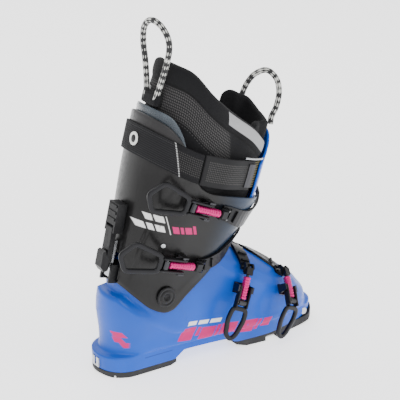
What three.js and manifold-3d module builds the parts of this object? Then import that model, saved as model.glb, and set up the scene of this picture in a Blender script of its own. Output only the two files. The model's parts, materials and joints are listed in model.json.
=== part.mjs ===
// A four-buckle freeride ski boot for the right foot, in millimetres.
//
// +X points to the toe, +Y to the wearer's left (the inner side of a right boot), +Z up.
// The origin is the middle of the flat heel sole, on the surface that the boot stands on.
// The cuff, its liner and its strap are drawn in the leg frame (u forward, w up the shin),
// which turns about the ankle pivot by the forward lean.

import * as THREE from 'three';
import { mergeVertices } from 'three/addons/utils/BufferGeometryUtils.js';
import Module from 'manifold-3d';

const wasm = await Module();
wasm.setup();

// ---- driving dimensions -------------------------------------------------------------------
const GAP = 0.3;                // between pieces that rest on each other

const HEEL_BACK = -38;          // rear end of the sole
const TOE_TIP = 268;            // front end of the sole
const HEEL_HALF = 35;           // half width of the heel lug
const TOE_HALF = 35;            // half width of the toe lug
const RUBBER = 7;               // thickness of the rubber soles
const TOE_SPRING = 9;           // how far the toe rubber rises at its tip
const LEDGE_TOP = 25;           // top of the heel and toe lugs
const SHELL_WALL = 4.5;
const SHELL_FLOOR = 20;         // inside floor of the lower shell
const NECK_HALF = 45.5;         // half width of the shell's neck inside the cuff

const PIVOT_X = 28;             // ankle pivot axis, along Y
const PIVOT_Z = 101;
const LEAN = THREE.MathUtils.degToRad(13.5);
const PIVOT_DISC_R = 12.5;
const PIVOT_SHANK_R = 5;

const CUFF_WALL = 3.5;
const CUFF_HALF = 51;           // half width of the cuff at the ankle pivot
const CUFF_SPREAD = 11;         // how much wider each side is at the calf
const SPINE_U = -47.5;          // rear surface of the cuff
const SHIN_U = 131;             // front surface of the cuff at the strap
const SPINE_TOP = 203;          // cuff height at the spine, up the shin
const COLLAR_TOP = 265;         // liner height at the spine
const FLAP_WALL = 3;
const LINER_WALL = 10;
const FOOT_LINER_WALL = 6;
const BOARD = 9;                // thickness of the boot board
const STRAP_WIDTH = 34;
const STRAP_THICK = 2.4;
const CORD_D = 7;

const SPLIT_R = 61;             // round split between the foot part and the leg part of the liner
const SPLIT_CLEAR = 1.5;
const FLEX_FORWARD = 4;         // degrees that the cuff moves forward from the locked lean

const PIN_R = 1.7;              // buckle pins
const PIN_HOLE_R = 2.05;
const ROD_R = 2;                // threaded rod in each buckle
const ROD_BORE_R = 2.6;
const BARREL_R = 4.6;
const ROD_HEIGHT = 9.8;         // rod axis above the shell's surface
const PIN_HEIGHT = 10.6;        // lever pin above the surface: the closed lever is past its centre
const ARM_INNER = 6;            // half gap between the lever's arms
const ARM_THICK = 2.8;
const CATCH_THICK = 2.6;
const CATCH_LIFT = 0.8;         // gap under a catch
const TOOTH = 2.3;

const COLUMNS = 40;             // facets round the shell, cuff and liner

// ---- colours --------------------------------------------------------------------------------
const BLUE = [0x3f86dd, 0.42, 0];
const SMOKE = [0x2b2b2e, 0.38, 0];
const GREY_SMOKE = [0x55626f, 0.3, 0];
const BLACK = [0x17171a, 0.45, 0];
const RUBBER_BLACK = [0x1c1c1d, 0.85, 0];
const FABRIC = [0x232326, 0.95, 0];
const PALE_FABRIC = [0xb9bbbd, 0.95, 0];
const MAGENTA = [0xd8327f, 0.35, 0];
const STEEL = [0xc9ccd0, 0.25, 1];
const DARK_STEEL = [0x3a3c40, 0.35, 1];
const WHITE = [0xe8e8e6, 0.5, 0];
const CORD = [0x8c8c8a, 0.9, 0];

// ---- small helpers --------------------------------------------------------------------------
const V = (x, y, z) => new THREE.Vector3(x, y, z);
const mix = (a, b, t) => a + (b - a) * t;
const clamp01 = (t) => Math.min(1, Math.max(0, t));
const smooth = (t) => clamp01(t) ** 2 * (3 - 2 * clamp01(t));

// A smooth curve through a few points [x, y], without overshoot.
function curve(points) {
  const slopes = points.slice(1).map((p, i) => (p[1] - points[i][1]) / (p[0] - points[i][0]));
  const tangents = points.map((p, i) => {
    const before = slopes[i - 1] ?? slopes[i];
    const after = slopes[i] ?? before;
    return before * after > 0 ? (2 * before * after) / (before + after) : 0;
  });
  return (x) => {
    if (x <= points[0][0]) return points[0][1];
    if (x >= points.at(-1)[0]) return points.at(-1)[1];
    const i = points.findIndex((p) => p[0] >= x) - 1;
    const [x0, y0] = points[i];
    const [x1, y1] = points[i + 1];
    const h = x1 - x0;
    const t = (x - x0) / h;
    const rise = t * t * (3 - 2 * t);
    return mix(y0, y1, rise) + h * t * (1 - t) * ((1 - t) * tangents[i] - t * tangents[i + 1]);
  };
}

function material([color, roughness, metalness]) {
  return new THREE.MeshStandardMaterial({ color, roughness, metalness });
}

// A closed mesh from points and triangles, turned inside out if its volume is negative.
function closedMesh(points, triangles) {
  let volume = 0;
  for (const [a, b, c] of triangles) {
    volume += points[a].dot(V(0, 0, 0).crossVectors(points[b], points[c]));
  }
  const order = volume > 0 ? triangles : triangles.map(([a, b, c]) => [a, c, b]);
  const geometry = new THREE.BufferGeometry();
  const flat = points.flatMap((p) => [p.x, p.y, p.z]);
  geometry.setAttribute('position', new THREE.Float32BufferAttribute(flat, 3));
  geometry.setIndex(order.flat());
  return geometry;
}

function quad(triangles, a, b, c, d) {
  triangles.push([a, b, c], [a, c, d]);
}

// A curved plate: outer and inner sheets of rows x columns points, joined along all four edges.
function plate(rows, columns, outer, inner) {
  const points = [];
  for (const sheet of [outer, inner]) {
    for (let j = 0; j <= rows; j++) {
      for (let i = 0; i <= columns; i++) points.push(sheet(i / columns, j / rows));
    }
  }
  const at = (side, i, j) => side * (rows + 1) * (columns + 1) + j * (columns + 1) + i;
  const triangles = [];
  for (let j = 0; j < rows; j++) {
    for (let i = 0; i < columns; i++) {
      quad(triangles, at(0, i, j), at(0, i + 1, j), at(0, i + 1, j + 1), at(0, i, j + 1));
      quad(triangles, at(1, i, j), at(1, i, j + 1), at(1, i + 1, j + 1), at(1, i + 1, j));
    }
  }
  for (let i = 0; i < columns; i++) {
    quad(triangles, at(0, i, 0), at(1, i, 0), at(1, i + 1, 0), at(0, i + 1, 0));
    quad(triangles, at(0, i, rows), at(0, i + 1, rows), at(1, i + 1, rows), at(1, i, rows));
  }
  for (let j = 0; j < rows; j++) {
    quad(triangles, at(0, 0, j), at(0, 0, j + 1), at(1, 0, j + 1), at(1, 0, j));
    quad(triangles, at(0, columns, j), at(1, columns, j), at(1, columns, j + 1), at(0, columns, j + 1));
  }
  return closedMesh(points, triangles);
}

// A cup: outer and inner rings stacked upward, open at the top, with a floor across each bottom ring.
function cup(rings, columns, outer, inner) {
  const points = [];
  for (const sheet of [outer, inner]) {
    for (let j = 0; j <= rings; j++) {
      for (let i = 0; i < columns; i++) points.push(sheet(i / columns, j / rings));
    }
  }
  const at = (side, i, j) => (side * (rings + 1) + j) * columns + ((i + columns) % columns);
  const triangles = [];
  for (let i = 0; i < columns; i++) {
    for (let j = 0; j < rings; j++) {
      quad(triangles, at(0, i, j), at(0, i + 1, j), at(0, i + 1, j + 1), at(0, i, j + 1));
      quad(triangles, at(1, i, j), at(1, i, j + 1), at(1, i + 1, j + 1), at(1, i + 1, j));
    }
    quad(triangles, at(0, i, rings), at(0, i + 1, rings), at(1, i + 1, rings), at(1, i, rings));
  }
  // Each floor is a strip between mirrored points of its ring.
  for (const side of [0, 1]) {
    const face = (a, b, c) => triangles.push(side === 0 ? [a, c, b] : [a, b, c]);
    for (let i = 0; i < columns / 2; i++) {
      const near = at(side, i, 0);
      const next = at(side, i + 1, 0);
      const farNext = at(side, -i - 1, 0);
      const far = at(side, -i, 0);
      if (far !== near) face(near, farNext, far);
      if (next !== farNext) face(near, next, farNext);
    }
  }
  return closedMesh(points, triangles);
}

// manifold-3d joins and cuts closed three.js geometry.
function solid(geometry) {
  const bare = geometry.clone();
  bare.deleteAttribute('normal');
  bare.deleteAttribute('uv');
  const merged = mergeVertices(bare, 1e-4);
  return new wasm.Manifold(new wasm.Mesh({
    numProp: 3,
    vertProperties: new Float32Array(merged.attributes.position.array),
    triVerts: new Uint32Array(merged.index.array),
  }));
}

function geometryOf(manifold) {
  const mesh = manifold.getMesh();
  const geometry = new THREE.BufferGeometry();
  geometry.setAttribute('position', new THREE.Float32BufferAttribute(mesh.vertProperties, 3));
  geometry.setIndex([...mesh.triVerts]);
  return geometry;
}

function join(...geometries) {
  return geometryOf(geometries.map(solid).reduce((all, next) => all.add(next)));
}

function cut(geometry, ...tools) {
  return geometryOf(tools.map(solid).reduce((all, next) => all.subtract(next), solid(geometry)));
}

// A box from its low and high corners.
function box(low, high) {
  const size = high.map((h, i) => h - low[i]);
  const centre = high.map((h, i) => (h + low[i]) / 2);
  return new THREE.BoxGeometry(...size).translate(...centre);
}

// A round bar or disc from one point to another.
function rod(from, to, radius, sides = 12) {
  const length = from.distanceTo(to);
  const geometry = new THREE.CylinderGeometry(radius, radius, length, sides);
  geometry.applyQuaternion(new THREE.Quaternion().setFromUnitVectors(
    V(0, 1, 0), to.clone().sub(from).normalize()));
  return geometry.translate(...from.clone().add(to).multiplyScalar(0.5).toArray());
}

// A flat outline [x, y] with holes, extruded by depth along +Z.
function slab(outline, depth, holes = []) {
  const corners = outline.map(([x, y]) => new THREE.Vector2(x, y));
  if (THREE.ShapeUtils.isClockWise(corners)) corners.reverse();
  const shape = new THREE.Shape(corners);
  for (const hole of holes) shape.holes.push(new THREE.Path(hole.map(([x, y]) => new THREE.Vector2(x, y))));
  return new THREE.ExtrudeGeometry(shape, { depth, bevelEnabled: false, steps: 1 });
}

function ring(x, y, radius, sides = 12) {
  const corner = (k) => (2 * Math.PI * k) / sides;
  return Array.from({ length: sides }, (_, k) => [
    x + radius * Math.cos(corner(k)),
    y + radius * Math.sin(corner(k)),
  ]);
}

// The same outline moved inward by a distance, for a frame of even width.
function inset(outline, distance) {
  return outline.map((point, i) => {
    const count = outline.length;
    const before = new THREE.Vector2(...outline[(i + count - 1) % count]);
    const here = new THREE.Vector2(...point);
    const after = new THREE.Vector2(...outline[(i + 1) % count]);
    const one = here.clone().sub(before).normalize();
    const two = after.clone().sub(here).normalize();
    const across = new THREE.Vector2(-one.y - two.y, one.x + two.x).normalize();
    const half = across.dot(new THREE.Vector2(-one.y, one.x));
    return here.add(across.multiplyScalar(distance / half)).toArray();
  });
}

// ---- the boot as a list of pieces -----------------------------------------------------------
const boot = new THREE.Group();

function add(name, geometry, look, matrix) {
  const mesh = new THREE.Mesh(geometry, material(look));
  mesh.name = name;
  if (matrix) mesh.applyMatrix4(matrix);
  boot.add(mesh);
  return mesh;
}

// ---- the two surfaces -----------------------------------------------------------------------
// Both are stacks of foot-shaped outlines. phi is 0 at the front, a quarter turn on the inner
// side, half a turn at the back and three quarters on the outer side.

function endRound(distance, radius, power) {
  if (distance >= radius) return 1;
  return Math.max(0, 1 - ((radius - distance) / radius) ** power) ** (1 / power);
}

function roundness(x, o) {
  return endRound(x - o.rear, o.rearRound, o.rearPower) * endRound(o.front - x, o.frontRound, o.frontPower);
}

function alongOutline(phi, o) {
  return mix(o.rear, o.front, (1 + Math.cos(phi)) / 2);
}

function acrossOutline(phi, x, o) {
  const inner = Math.sin(phi) >= 0;
  const half = inner ? o.inner(x) : o.outer(x);
  return o.centre(x) + (inner ? 1 : -1) * half * roundness(x, o);
}

// Lower shell: outlines at height z. offset is outward; neck is 0 below the ledge, 1 above it.
const shellFront = curve([
  [RUBBER, TOE_TIP - 6], [18, TOE_TIP], [LEDGE_TOP, TOE_TIP], [LEDGE_TOP + 4, TOE_TIP - 7],
  [38, TOE_TIP - 7.5], [47, TOE_TIP - 13], [85, 211], [105, 178], [120, 149], [130, 138],
  [140, 131], [152, 126],
]);
const shellFrontSlope = curve([[RUBBER, 1], [40, 1], [56, 1.6], [112, 1.7], [140, 1.25]]);
const shellRear = curve([
  [RUBBER, HEEL_BACK + 1], [LEDGE_TOP, HEEL_BACK], [LEDGE_TOP + 4, HEEL_BACK + 9],
  [50, HEEL_BACK + 10], [70, HEEL_BACK + 9], [93, HEEL_BACK + 12], [104, HEEL_BACK + 15],
]);
// The neck is round about the ankle pivot at the back, so that the cuff turns over it.
const NECK_R = -SPINE_U - CUFF_WALL - 2;
const neckRear = (z) => PIVOT_X - Math.sqrt(Math.max(1, NECK_R ** 2 - Math.max(0, z - PIVOT_Z) ** 2));
const frontRoundAt = curve([[RUBBER, 41.5], [LEDGE_TOP, 41.5], [40, 48], [90, 62], [150, 58]]);
// A place along the sole: 0 at its rear end, 1 at its tip.
const along = (share) => mix(HEEL_BACK, TOE_TIP, share);
const lugHalf = {
  outer: curve([[along(0.114), HEEL_HALF], [along(0.271), HEEL_HALF + 1], [along(0.451), 40], [along(0.582), 45], 
    [along(0.696), 47], [along(0.794), 42],
    [along(0.863), TOE_HALF + 1], [TOE_TIP, TOE_HALF]]),
  inner: curve([[along(0.114), HEEL_HALF], [along(0.271), HEEL_HALF], [along(0.418), 35], [along(0.582), 42], [along(0.729), 46], [along(0.81), 42],
    [along(0.863), TOE_HALF + 1], [TOE_TIP, TOE_HALF]]),
};
const bodyHalf = {
  outer: curve([[along(0.016), 31], [along(0.124), 35], [along(0.19), 38], [along(0.32), 42.5], [along(0.451), 45.5], [along(0.582), 48.5], [along(0.696), 50],
    [along(0.794), 49], [along(0.908), 45], [along(0.98), 41]]),
  inner: curve([[along(0.016), 31], [along(0.124), 34], [along(0.19), 36.5], [along(0.32), 38.5], [along(0.451), 41], [along(0.582), 45.5], [along(0.712), 49],
    [along(0.81), 48], [along(0.908), 43], [along(0.98), 38]]),
};
const toeShift = (x) => 5 * smooth((x - 130) / 110);

function shellSection(z, offset, neck) {
  const upper = smooth((z - LEDGE_TOP) / 4);
  const ankle = smooth((z - 30) / 55);
  const half = (side) => (x) => {
    const body = mix(bodyHalf[side](x), NECK_HALF - 0.5, ankle * (1 - smooth((x - 90) / 60)));
    const full = mix(lugHalf[side](x), body, upper);
    return mix(full, NECK_HALF, neck) + offset;
  };
  return {
    rear: mix(shellRear(z), neckRear(z), neck) - offset,
    front: shellFront(z) + offset * shellFrontSlope(z),
    rearRound: mix(mix(35, 38, upper), 44, neck) + offset,
    rearPower: 2.1,
    frontRound: frontRoundAt(z) + offset,
    frontPower: 2,
    outer: half('outer'),
    inner: half('inner'),
    centre: (x) => toeShift(x) * upper,
  };
}

function shellPoint(phi, z, offset, neck) {
  const section = shellSection(z, offset, neck);
  const x = alongOutline(phi, section);
  return V(x, acrossOutline(phi, x, section), z);
}

// Cuff: outlines in the leg frame at height w up the shin.
const cuffFront = curve([
  [-25, SHIN_U - 56], [0, SHIN_U - 51], [30, SHIN_U - 43], [60, SHIN_U - 36], [82, SHIN_U - 26],
  [125, SHIN_U - 5], [165, SHIN_U], [205, SHIN_U + 4], [235, SHIN_U], [275, SHIN_U - 12],
]);
const cuffRear = curve([[-25, SPINE_U + 1], [60, SPINE_U], [125, SPINE_U], [205, SPINE_U + 2],
  [275, SPINE_U + 5]]);
const cuffHalf = curve([[15, CUFF_HALF], [45, CUFF_HALF + 0.25 * CUFF_SPREAD],
  [100, CUFF_HALF + 0.75 * CUFF_SPREAD], [155, CUFF_HALF + CUFF_SPREAD],
  [215, CUFF_HALF + CUFF_SPREAD], [275, CUFF_HALF + 0.8 * CUFF_SPREAD]]);

function cuffSection(w, offset) {
  const half = () => cuffHalf(w) + offset;
  return {
    rear: cuffRear(w) - offset,
    front: cuffFront(w) + offset,
    rearRound: 56 + offset,
    rearPower: 2.15,
    frontRound: mix(60, 74, smooth((w - 60) / 100)) + offset,
    frontPower: mix(2.4, 2.1, smooth((w - 60) / 100)),
    outer: half,
    inner: half,
    centre: () => 0,
  };
}

// Leg frame to boot frame.
function fromLeg(u, y, w) {
  return V(
    PIVOT_X + u * Math.cos(LEAN) + w * Math.sin(LEAN),
    y,
    PIVOT_Z - u * Math.sin(LEAN) + w * Math.cos(LEAN),
  );
}

function cuffPoint(phi, w, offset) {
  const section = cuffSection(w, offset);
  const u = alongOutline(phi, section);
  return fromLeg(u, acrossOutline(phi, u, section), w);
}

// The same surfaces on the outer side, reached by position instead of angle.
function cuffSide(u, w) {
  const section = cuffSection(w, 0);
  return fromLeg(u, -section.outer(u) * roundness(u, section), w);
}

function shellSide(x, z) {
  const section = shellSection(z, 0, 0);
  return V(x, section.centre(x) - section.outer(x) * roundness(x, section), z);
}

// Outward unit normal of a surface given by two numbers, of which the first may be an angle.
function normalAt(surface, a, b, outward, stepA = 0.5) {
  const step = 0.5;
  const alongA = surface(a + stepA, b).sub(surface(a - stepA, b));
  const alongB = surface(a, b + step).sub(surface(a, b - step));
  const normal = V(0, 0, 0).crossVectors(alongA, alongB).normalize();
  return normal.dot(outward) < 0 ? normal.negate() : normal;
}

// Outward unit normal at phi and a height.
function normalAround(surface, phi, level) {
  const around = (a, b) => surface(a, b, 0, 0);
  const outward = around(phi, level).sub(around(phi + Math.PI, level));
  return normalAt(around, phi, level, outward, 0.01);
}

// Whether a point is inside the outline of a section.
function within(section, x, y) {
  if (x <= section.rear || x >= section.front) return false;
  const half = y > section.centre(x) ? section.inner(x) : section.outer(x);
  return Math.abs(y - section.centre(x)) < half * roundness(x, section);
}

const shellHolds = (p) => within(shellSection(p.z, 0, 0), p.x, p.y);

function cuffHolds(p) {
  const x = p.x - PIVOT_X;
  const z = p.z - PIVOT_Z;
  const w = x * Math.sin(LEAN) + z * Math.cos(LEAN);
  return within(cuffSection(w, 0), x * Math.cos(LEAN) - z * Math.sin(LEAN), p.y);
}

// ---- lower shell, boot board and foot liner -------------------------------------------------
const HEEL_SOLE_FRONT = 52;
const TOE_SOLE_REAR = TOE_TIP - 134;
const SPRING_FROM = TOE_TIP - 46;         // the toe rubber rises from here
const ARCH = 17;                        // height of the shell's underside between the soles
const TOE_SOLE_TOP = RUBBER + 3.5;
const shellBottom = curve([[HEEL_BACK, RUBBER + GAP], [HEEL_SOLE_FRONT - 2, RUBBER + GAP],
  [HEEL_SOLE_FRONT + 12, ARCH], [TOE_SOLE_REAR - 16, ARCH], [TOE_SOLE_REAR + 2, TOE_SOLE_TOP],
  [SPRING_FROM + 3, TOE_SOLE_TOP], [TOE_TIP, TOE_SOLE_TOP + TOE_SPRING]]);
const ledgeLine = curve([[-30, 99], [-8, 82], [10, 66], [43, 44], [80, 41], [200, 41], [TOE_TIP, 42]]);
const NECK_STEP = 2.5;          // height of the sloped step from the shell to its neck
const RIM_REAR_X = 6;
const RIM_FRONT_X = 127;
const RIM_SIDE_Z = PIVOT_Z + 37;
const RIM_FRONT_RISE = 0.5;     // slope of the front rim, seen from the pivot

function rimHeight(phi) {
  const x = mix(RIM_REAR_X, RIM_FRONT_X, (1 + Math.cos(phi)) / 2) - PIVOT_X;
  const reach = SPLIT_R - SPLIT_CLEAR - 1;
  const round = PIVOT_Z + Math.sqrt(Math.max(0, reach ** 2 - x ** 2));
  return Math.max(Math.min(RIM_SIDE_Z, round), PIVOT_Z + RIM_FRONT_RISE * x);
}

// Heights of the rings at phi, from the bottom to the rim, with the neck factor of each.
function shellRings(phi, bottom) {
  const x = mix(HEEL_BACK + 2, TOE_TIP - 2, (1 + Math.cos(phi)) / 2);
  const ledge = ledgeLine(x);
  const rim = rimHeight(phi);
  const rear = 1 - smooth((x - 45) / 25);
  const low = bottom(x);
  const lower = low < LEDGE_TOP
    ? [low, mix(low, LEDGE_TOP, 0.5), LEDGE_TOP, LEDGE_TOP + 4]
    : [low, low + 1.5, low + 3, low + 5];
  const body = [0.35, 0.7, 1].map((t) => mix(lower[3], ledge, t));
  const neck = [0, 0.12, 0.27, 0.44, 0.62, 0.81, 1].map((t) => mix(ledge + NECK_STEP, rim, t));
  return [...[...lower, ...body].map((z) => [z, 0]), ...neck.map((z) => [z, rear])];
}
const SHELL_RINGS = 13;

function lowerShell() {
  const outer = (i, j) => {
    const phi = 2 * Math.PI * i;
    const [z, neck] = shellRings(phi, shellBottom)[Math.round(j * SHELL_RINGS)];
    return shellPoint(phi, z, 0, neck);
  };
  const inner = (i, j) => footPoint(2 * Math.PI * i, j, -SHELL_WALL, SHELL_FLOOR, 0);
  return cut(cup(SHELL_RINGS, COLUMNS, outer, inner), ...techPockets());
}

// Surfaces inside the shell share its rings, so that they stay parallel.
function footPoint(phi, j, offset, floor, rise) {
  const [z, neck] = shellRings(phi, () => floor)[Math.round(j * SHELL_RINGS)];
  return shellPoint(phi, z + rise * smooth((j - 0.6) / 0.4), offset, neck);
}

// A solid stack of rings, with a floor and a lid that are strips between mirrored points.
function stack(rings, columns, ringPoint) {
  const points = [];
  for (let j = 0; j <= rings; j++) {
    for (let i = 0; i < columns; i++) points.push(ringPoint(i / columns, j / rings));
  }
  const at = (i, j) => j * columns + ((i + columns) % columns);
  const triangles = [];
  for (let j = 0; j < rings; j++) {
    for (let i = 0; i < columns; i++) {
      quad(triangles, at(i, j), at(i + 1, j), at(i + 1, j + 1), at(i, j + 1));
    }
  }
  for (const level of [0, rings]) {
    const face = (a, b, c) => triangles.push(level === 0 ? [a, c, b] : [a, b, c]);
    for (let i = 0; i < columns / 2; i++) {
      if (i > 0) face(at(i, level), at(-i - 1, level), at(-i, level));
      if (i + 1 < columns / 2) face(at(i, level), at(i + 1, level), at(-i - 1, level));
    }
  }
  return closedMesh(points, triangles);
}

const BOARD_LOW = SHELL_FLOOR + GAP;
const BOARD_TOP = BOARD_LOW + BOARD;
const LINER_FLOOR = BOARD_TOP + GAP;
const INSIDE = -SHELL_WALL - 2.4;         // outer surface of what sits inside the shell

function bootBoard() {
  const levels = [BOARD_LOW, LEDGE_TOP, BOARD_TOP];
  return stack(2, COLUMNS, (i, j) => shellPoint(2 * Math.PI * i, levels[Math.round(2 * j)], INSIDE, 0));
}

function footLiner() {
  const outer = (i, j) => footPoint(2 * Math.PI * i, j, INSIDE, LINER_FLOOR, -1.5);
  const inner = (i, j) => footPoint(2 * Math.PI * i, j, INSIDE - FOOT_LINER_WALL, LINER_FLOOR + 4, -1.5);
  return cup(SHELL_RINGS, COLUMNS, outer, inner);
}


// ---- soles ----------------------------------------------------------------------------------
// A sole is a row of rectangular sections, cut across by grooves.
function soleBlock(stations, halfAt, lowAt, highAt) {
  const ringPoint = (k, j) => {
    const x = stations[Math.round(j * (stations.length - 1))];
    const corner = Math.round(k * 4);
    const y = corner === 0 || corner === 3 ? -halfAt(x) : halfAt(x);
    return V(x, y, corner < 2 ? lowAt(x) : highAt(x));
  };
  const points = [];
  const last = stations.length - 1;
  for (let j = 0; j <= last; j++) {
    for (let k = 0; k < 4; k++) points.push(ringPoint(k / 4, j / last));
  }
  const triangles = [];
  for (let j = 0; j < last; j++) {
    for (let k = 0; k < 4; k++) {
      const next = (k + 1) % 4;
      quad(triangles, j * 4 + k, j * 4 + next, j * 4 + 4 + next, j * 4 + 4 + k);
    }
  }
  quad(triangles, 3, 2, 1, 0);
  quad(triangles, last * 4, last * 4 + 1, last * 4 + 2, last * 4 + 3);
  return closedMesh(points, triangles);
}

function steps(from, to, count) {
  return Array.from({ length: count + 1 }, (_, k) => mix(from, to, k / count));
}

const GROOVE_WIDTH = 3.5;
const GROOVE_DEPTH = 2.6;

function grooves(places, low, reach) {
  return places.map((x) => box(
    [x - GROOVE_WIDTH / 2, -reach, low(x) - 5],
    [x + GROOVE_WIDTH / 2, reach, low(x) + GROOVE_DEPTH],
  ));
}

function heelSole() {
  const centre = HEEL_BACK + HEEL_HALF;
  const arc = steps(90, 10, 8).map((deg) => centre - HEEL_HALF * Math.sin(THREE.MathUtils.degToRad(deg)));
  const front = HEEL_SOLE_FRONT;
  const half = (x) => (x < centre ? Math.sqrt(Math.max(9, HEEL_HALF ** 2 - (x - centre) ** 2)) : HEEL_HALF);
  const low = (x) => 0.35 * Math.max(0, x - front + 8) + 0.25 * Math.max(0, HEEL_BACK + 8 - x);
  const block = soleBlock([...arc, 10, 30, front - 8, front], half, low, () => RUBBER);
  return cut(block, ...grooves([-26, -15, 15, 26, 37], low, HEEL_HALF - 9));
}

const toeLow = (x) => TOE_SPRING * smooth((x - SPRING_FROM) / 60) * 1.15 + 0.5 * Math.max(0, TOE_SOLE_REAR + 10 - x);
const toeHigh = (x) => shellBottom(x) - GAP - smooth((x - SPRING_FROM - 3) / 20);

const INSERT_X = TOE_TIP - 83;             // middle of the wear plate
const TOE_GROOVES = [-33, -23, 23, 33, 43, 54, 65];

function toeSole() {
  const centre = TOE_TIP - 41.5;
  const arc = steps(10, 88, 9).map((deg) => centre + 40.5 * Math.sin(THREE.MathUtils.degToRad(deg)));
  const half = (x) => {
    const body = Math.min(lugHalf.outer(x), lugHalf.inner(x)) - 0.5;
    return x < centre ? body : Math.min(body, Math.sqrt(Math.max(25, 41.5 ** 2 - (x - centre) ** 2)));
  };
  const straight = steps(TOE_SOLE_REAR + 1, centre - 8, 6);
  const block = soleBlock([...straight, ...arc], half, toeLow, toeHigh);
  const pocket = box([INSERT_X - 9, -60, -1], [INSERT_X + 9, 60, 6]);
  return cut(block, pocket, ...grooves(TOE_GROOVES.map((x) => INSERT_X + x), toeLow, 29));
}

// A pale wear plate set into the toe rubber, under the ball of the foot.
function wearPlate() {
  return box([INSERT_X - 9 + GAP, -38, 0], [INSERT_X + 9 - GAP, 38, 6 - GAP]);
}

add('heel_sole', heelSole(), RUBBER_BLACK);
add('toe_sole', toeSole(), RUBBER_BLACK);
add('toe_wear_plate', wearPlate(), WHITE);

// ---- touring inserts: a steel block at the heel, a dimpled stud on each side of the toe -----
const TECH_DEPTH = 3;                   // how deep the inserts sit in the lugs
const TECH_HALF = 7;
const TECH_STUD_R = 4.5;
const TOE_STUD = { x: TOE_TIP - 25, z: 18 };

function heelInsert() {
  const body = box([HEEL_BACK - 0.8, -TECH_HALF, 9], [HEEL_BACK + TECH_DEPTH, TECH_HALF, 21]);
  const slot = box([HEEL_BACK - 5, -1.6, 11], [HEEL_BACK + 1, 1.6, 22]);
  return cut(body, slot);
}

function toeStud(side, radius, grow) {
  const section = shellSection(TOE_STUD.z, 0, 0);
  const y = side * section.outer(TOE_STUD.x) * roundness(TOE_STUD.x, section);
  return rod(
    V(TOE_STUD.x, y - side * (TECH_DEPTH + grow), TOE_STUD.z),
    V(TOE_STUD.x, y + side * (0.8 + 5 * grow), TOE_STUD.z),
    radius,
  );
}

function techPockets() {
  const heel = box(
    [HEEL_BACK - 5, -TECH_HALF - GAP, 9 - GAP],
    [HEEL_BACK + TECH_DEPTH + GAP, TECH_HALF + GAP, 21 + GAP],
  );
  return [heel, toeStud(1, TECH_STUD_R + 0.4, GAP), toeStud(-1, TECH_STUD_R + 0.4, GAP)];
}

add('lower_shell', lowerShell(), BLUE);
add('boot_board', bootBoard(), BLACK);
add('foot_liner', footLiner(), FABRIC);
add('heel_insert', heelInsert(), STEEL);
add('toe_insert_inner', toeStud(1, TECH_STUD_R, 0), STEEL);
add('toe_insert_outer', toeStud(-1, TECH_STUD_R, 0), STEEL);

// ---- cuff -----------------------------------------------------------------------------------
// Edge heights are curves of s, which runs from 0 at the spine to 1 at the middle of the front.
const backness = (phi) => (1 + Math.cos(phi)) / 2;
const cuffLow = curve([[0, 4], [0.12, -7], [0.26, -17], [0.4, -20.5], [0.48, -18], [0.6, 1],
  [0.745, 26], [0.835, 52], [0.9, 68], [0.97, 80], [1, 82]]);
const cuffHigh = curve([[0, SPINE_TOP], [0.05, SPINE_TOP - 4], [0.12, SPINE_TOP - 15],
  [0.22, SPINE_TOP - 40], [0.34, 134], [0.46, 127], [0.7, 124], [0.85, 121], [1, 117]]);
const CUFF_INNER_EDGE = 0.5;            // phi of the two free edges at the front
const CUFF_OUTER_EDGE = 2 * Math.PI - 0.25;
const SHELL_CLEAR = 1.1;                // between the cuff and the neck that it turns over

// A plate that follows the cuff's surface between two angles, lifted by an offset.
function wrap(rows, columns, from, to, low, high, offset, thickness) {
  const sheet = (depth) => (i, j) => {
    const phi = mix(from, to, i);
    const level = mix(low(phi), high(phi), j);
    return cuffPoint(phi, level, offset(phi, level) - depth);
  };
  return plate(rows, columns, sheet(0), sheet(thickness));
}

const SPINE_NOTCH_HALF = 13;            // the cuff is open at the back for the shell's bracket
const SPINE_NOTCH_TOP = 38;

function legBox(low, high) {
  const lean = new THREE.Matrix4().makeBasis(
    V(Math.cos(LEAN), 0, -Math.sin(LEAN)), V(0, 1, 0), V(Math.sin(LEAN), 0, Math.cos(LEAN)));
  lean.setPosition(PIVOT_X, 0, PIVOT_Z);
  return box(low, high).applyMatrix4(lean);
}

function cuff() {
  const low = (phi) => cuffLow(backness(phi));
  const high = (phi) => cuffHigh(backness(phi));
  const body = wrap(14, 34, CUFF_INNER_EDGE, CUFF_OUTER_EDGE, low, high, () => 0, CUFF_WALL);
  const notch = legBox([SPINE_U - 15, -SPINE_NOTCH_HALF, -30], [SPINE_U + 15, SPINE_NOTCH_HALF, SPINE_NOTCH_TOP]);
  const bore = rod(V(PIVOT_X, -70, PIVOT_Z), V(PIVOT_X, 70, PIVOT_Z), PIVOT_SHANK_R + 0.5, 20);
  return cut(body, notch, bore);
}

// The inner flap closes the front of the cuff and stands up as a tall shin plate.
const FLAP_OUTER_EDGE = -0.75;
const FLAP_INNER_EDGE = 1.3;
const FLAP_DEPTH = CUFF_WALL + 0.6;
const flapHigh = curve([[FLAP_OUTER_EDGE, 160], [-0.45, 181], [-0.12, 196], [0.3, 199], [0.8, 186],
  [FLAP_INNER_EDGE, 160]]);
const flapLow = curve([[FLAP_OUTER_EDGE, 86], [0, 84], [FLAP_INNER_EDGE, 60]]);

function cuffFlap() {
  return wrap(7, 12, FLAP_OUTER_EDGE, FLAP_INNER_EDGE, flapLow, flapHigh, () => -FLAP_DEPTH, FLAP_WALL);
}

// A smoky insert that stands above the cuff's rim behind the calf.
const SPOILER_DEPTH = CUFF_WALL + 0.6;
const SPOILER_WALL = 2.2;
const spoilerHigh = curve([[0, SPINE_TOP + 9], [0.05, SPINE_TOP + 6], [0.13, SPINE_TOP - 12], [0.17, 176]]);

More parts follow.
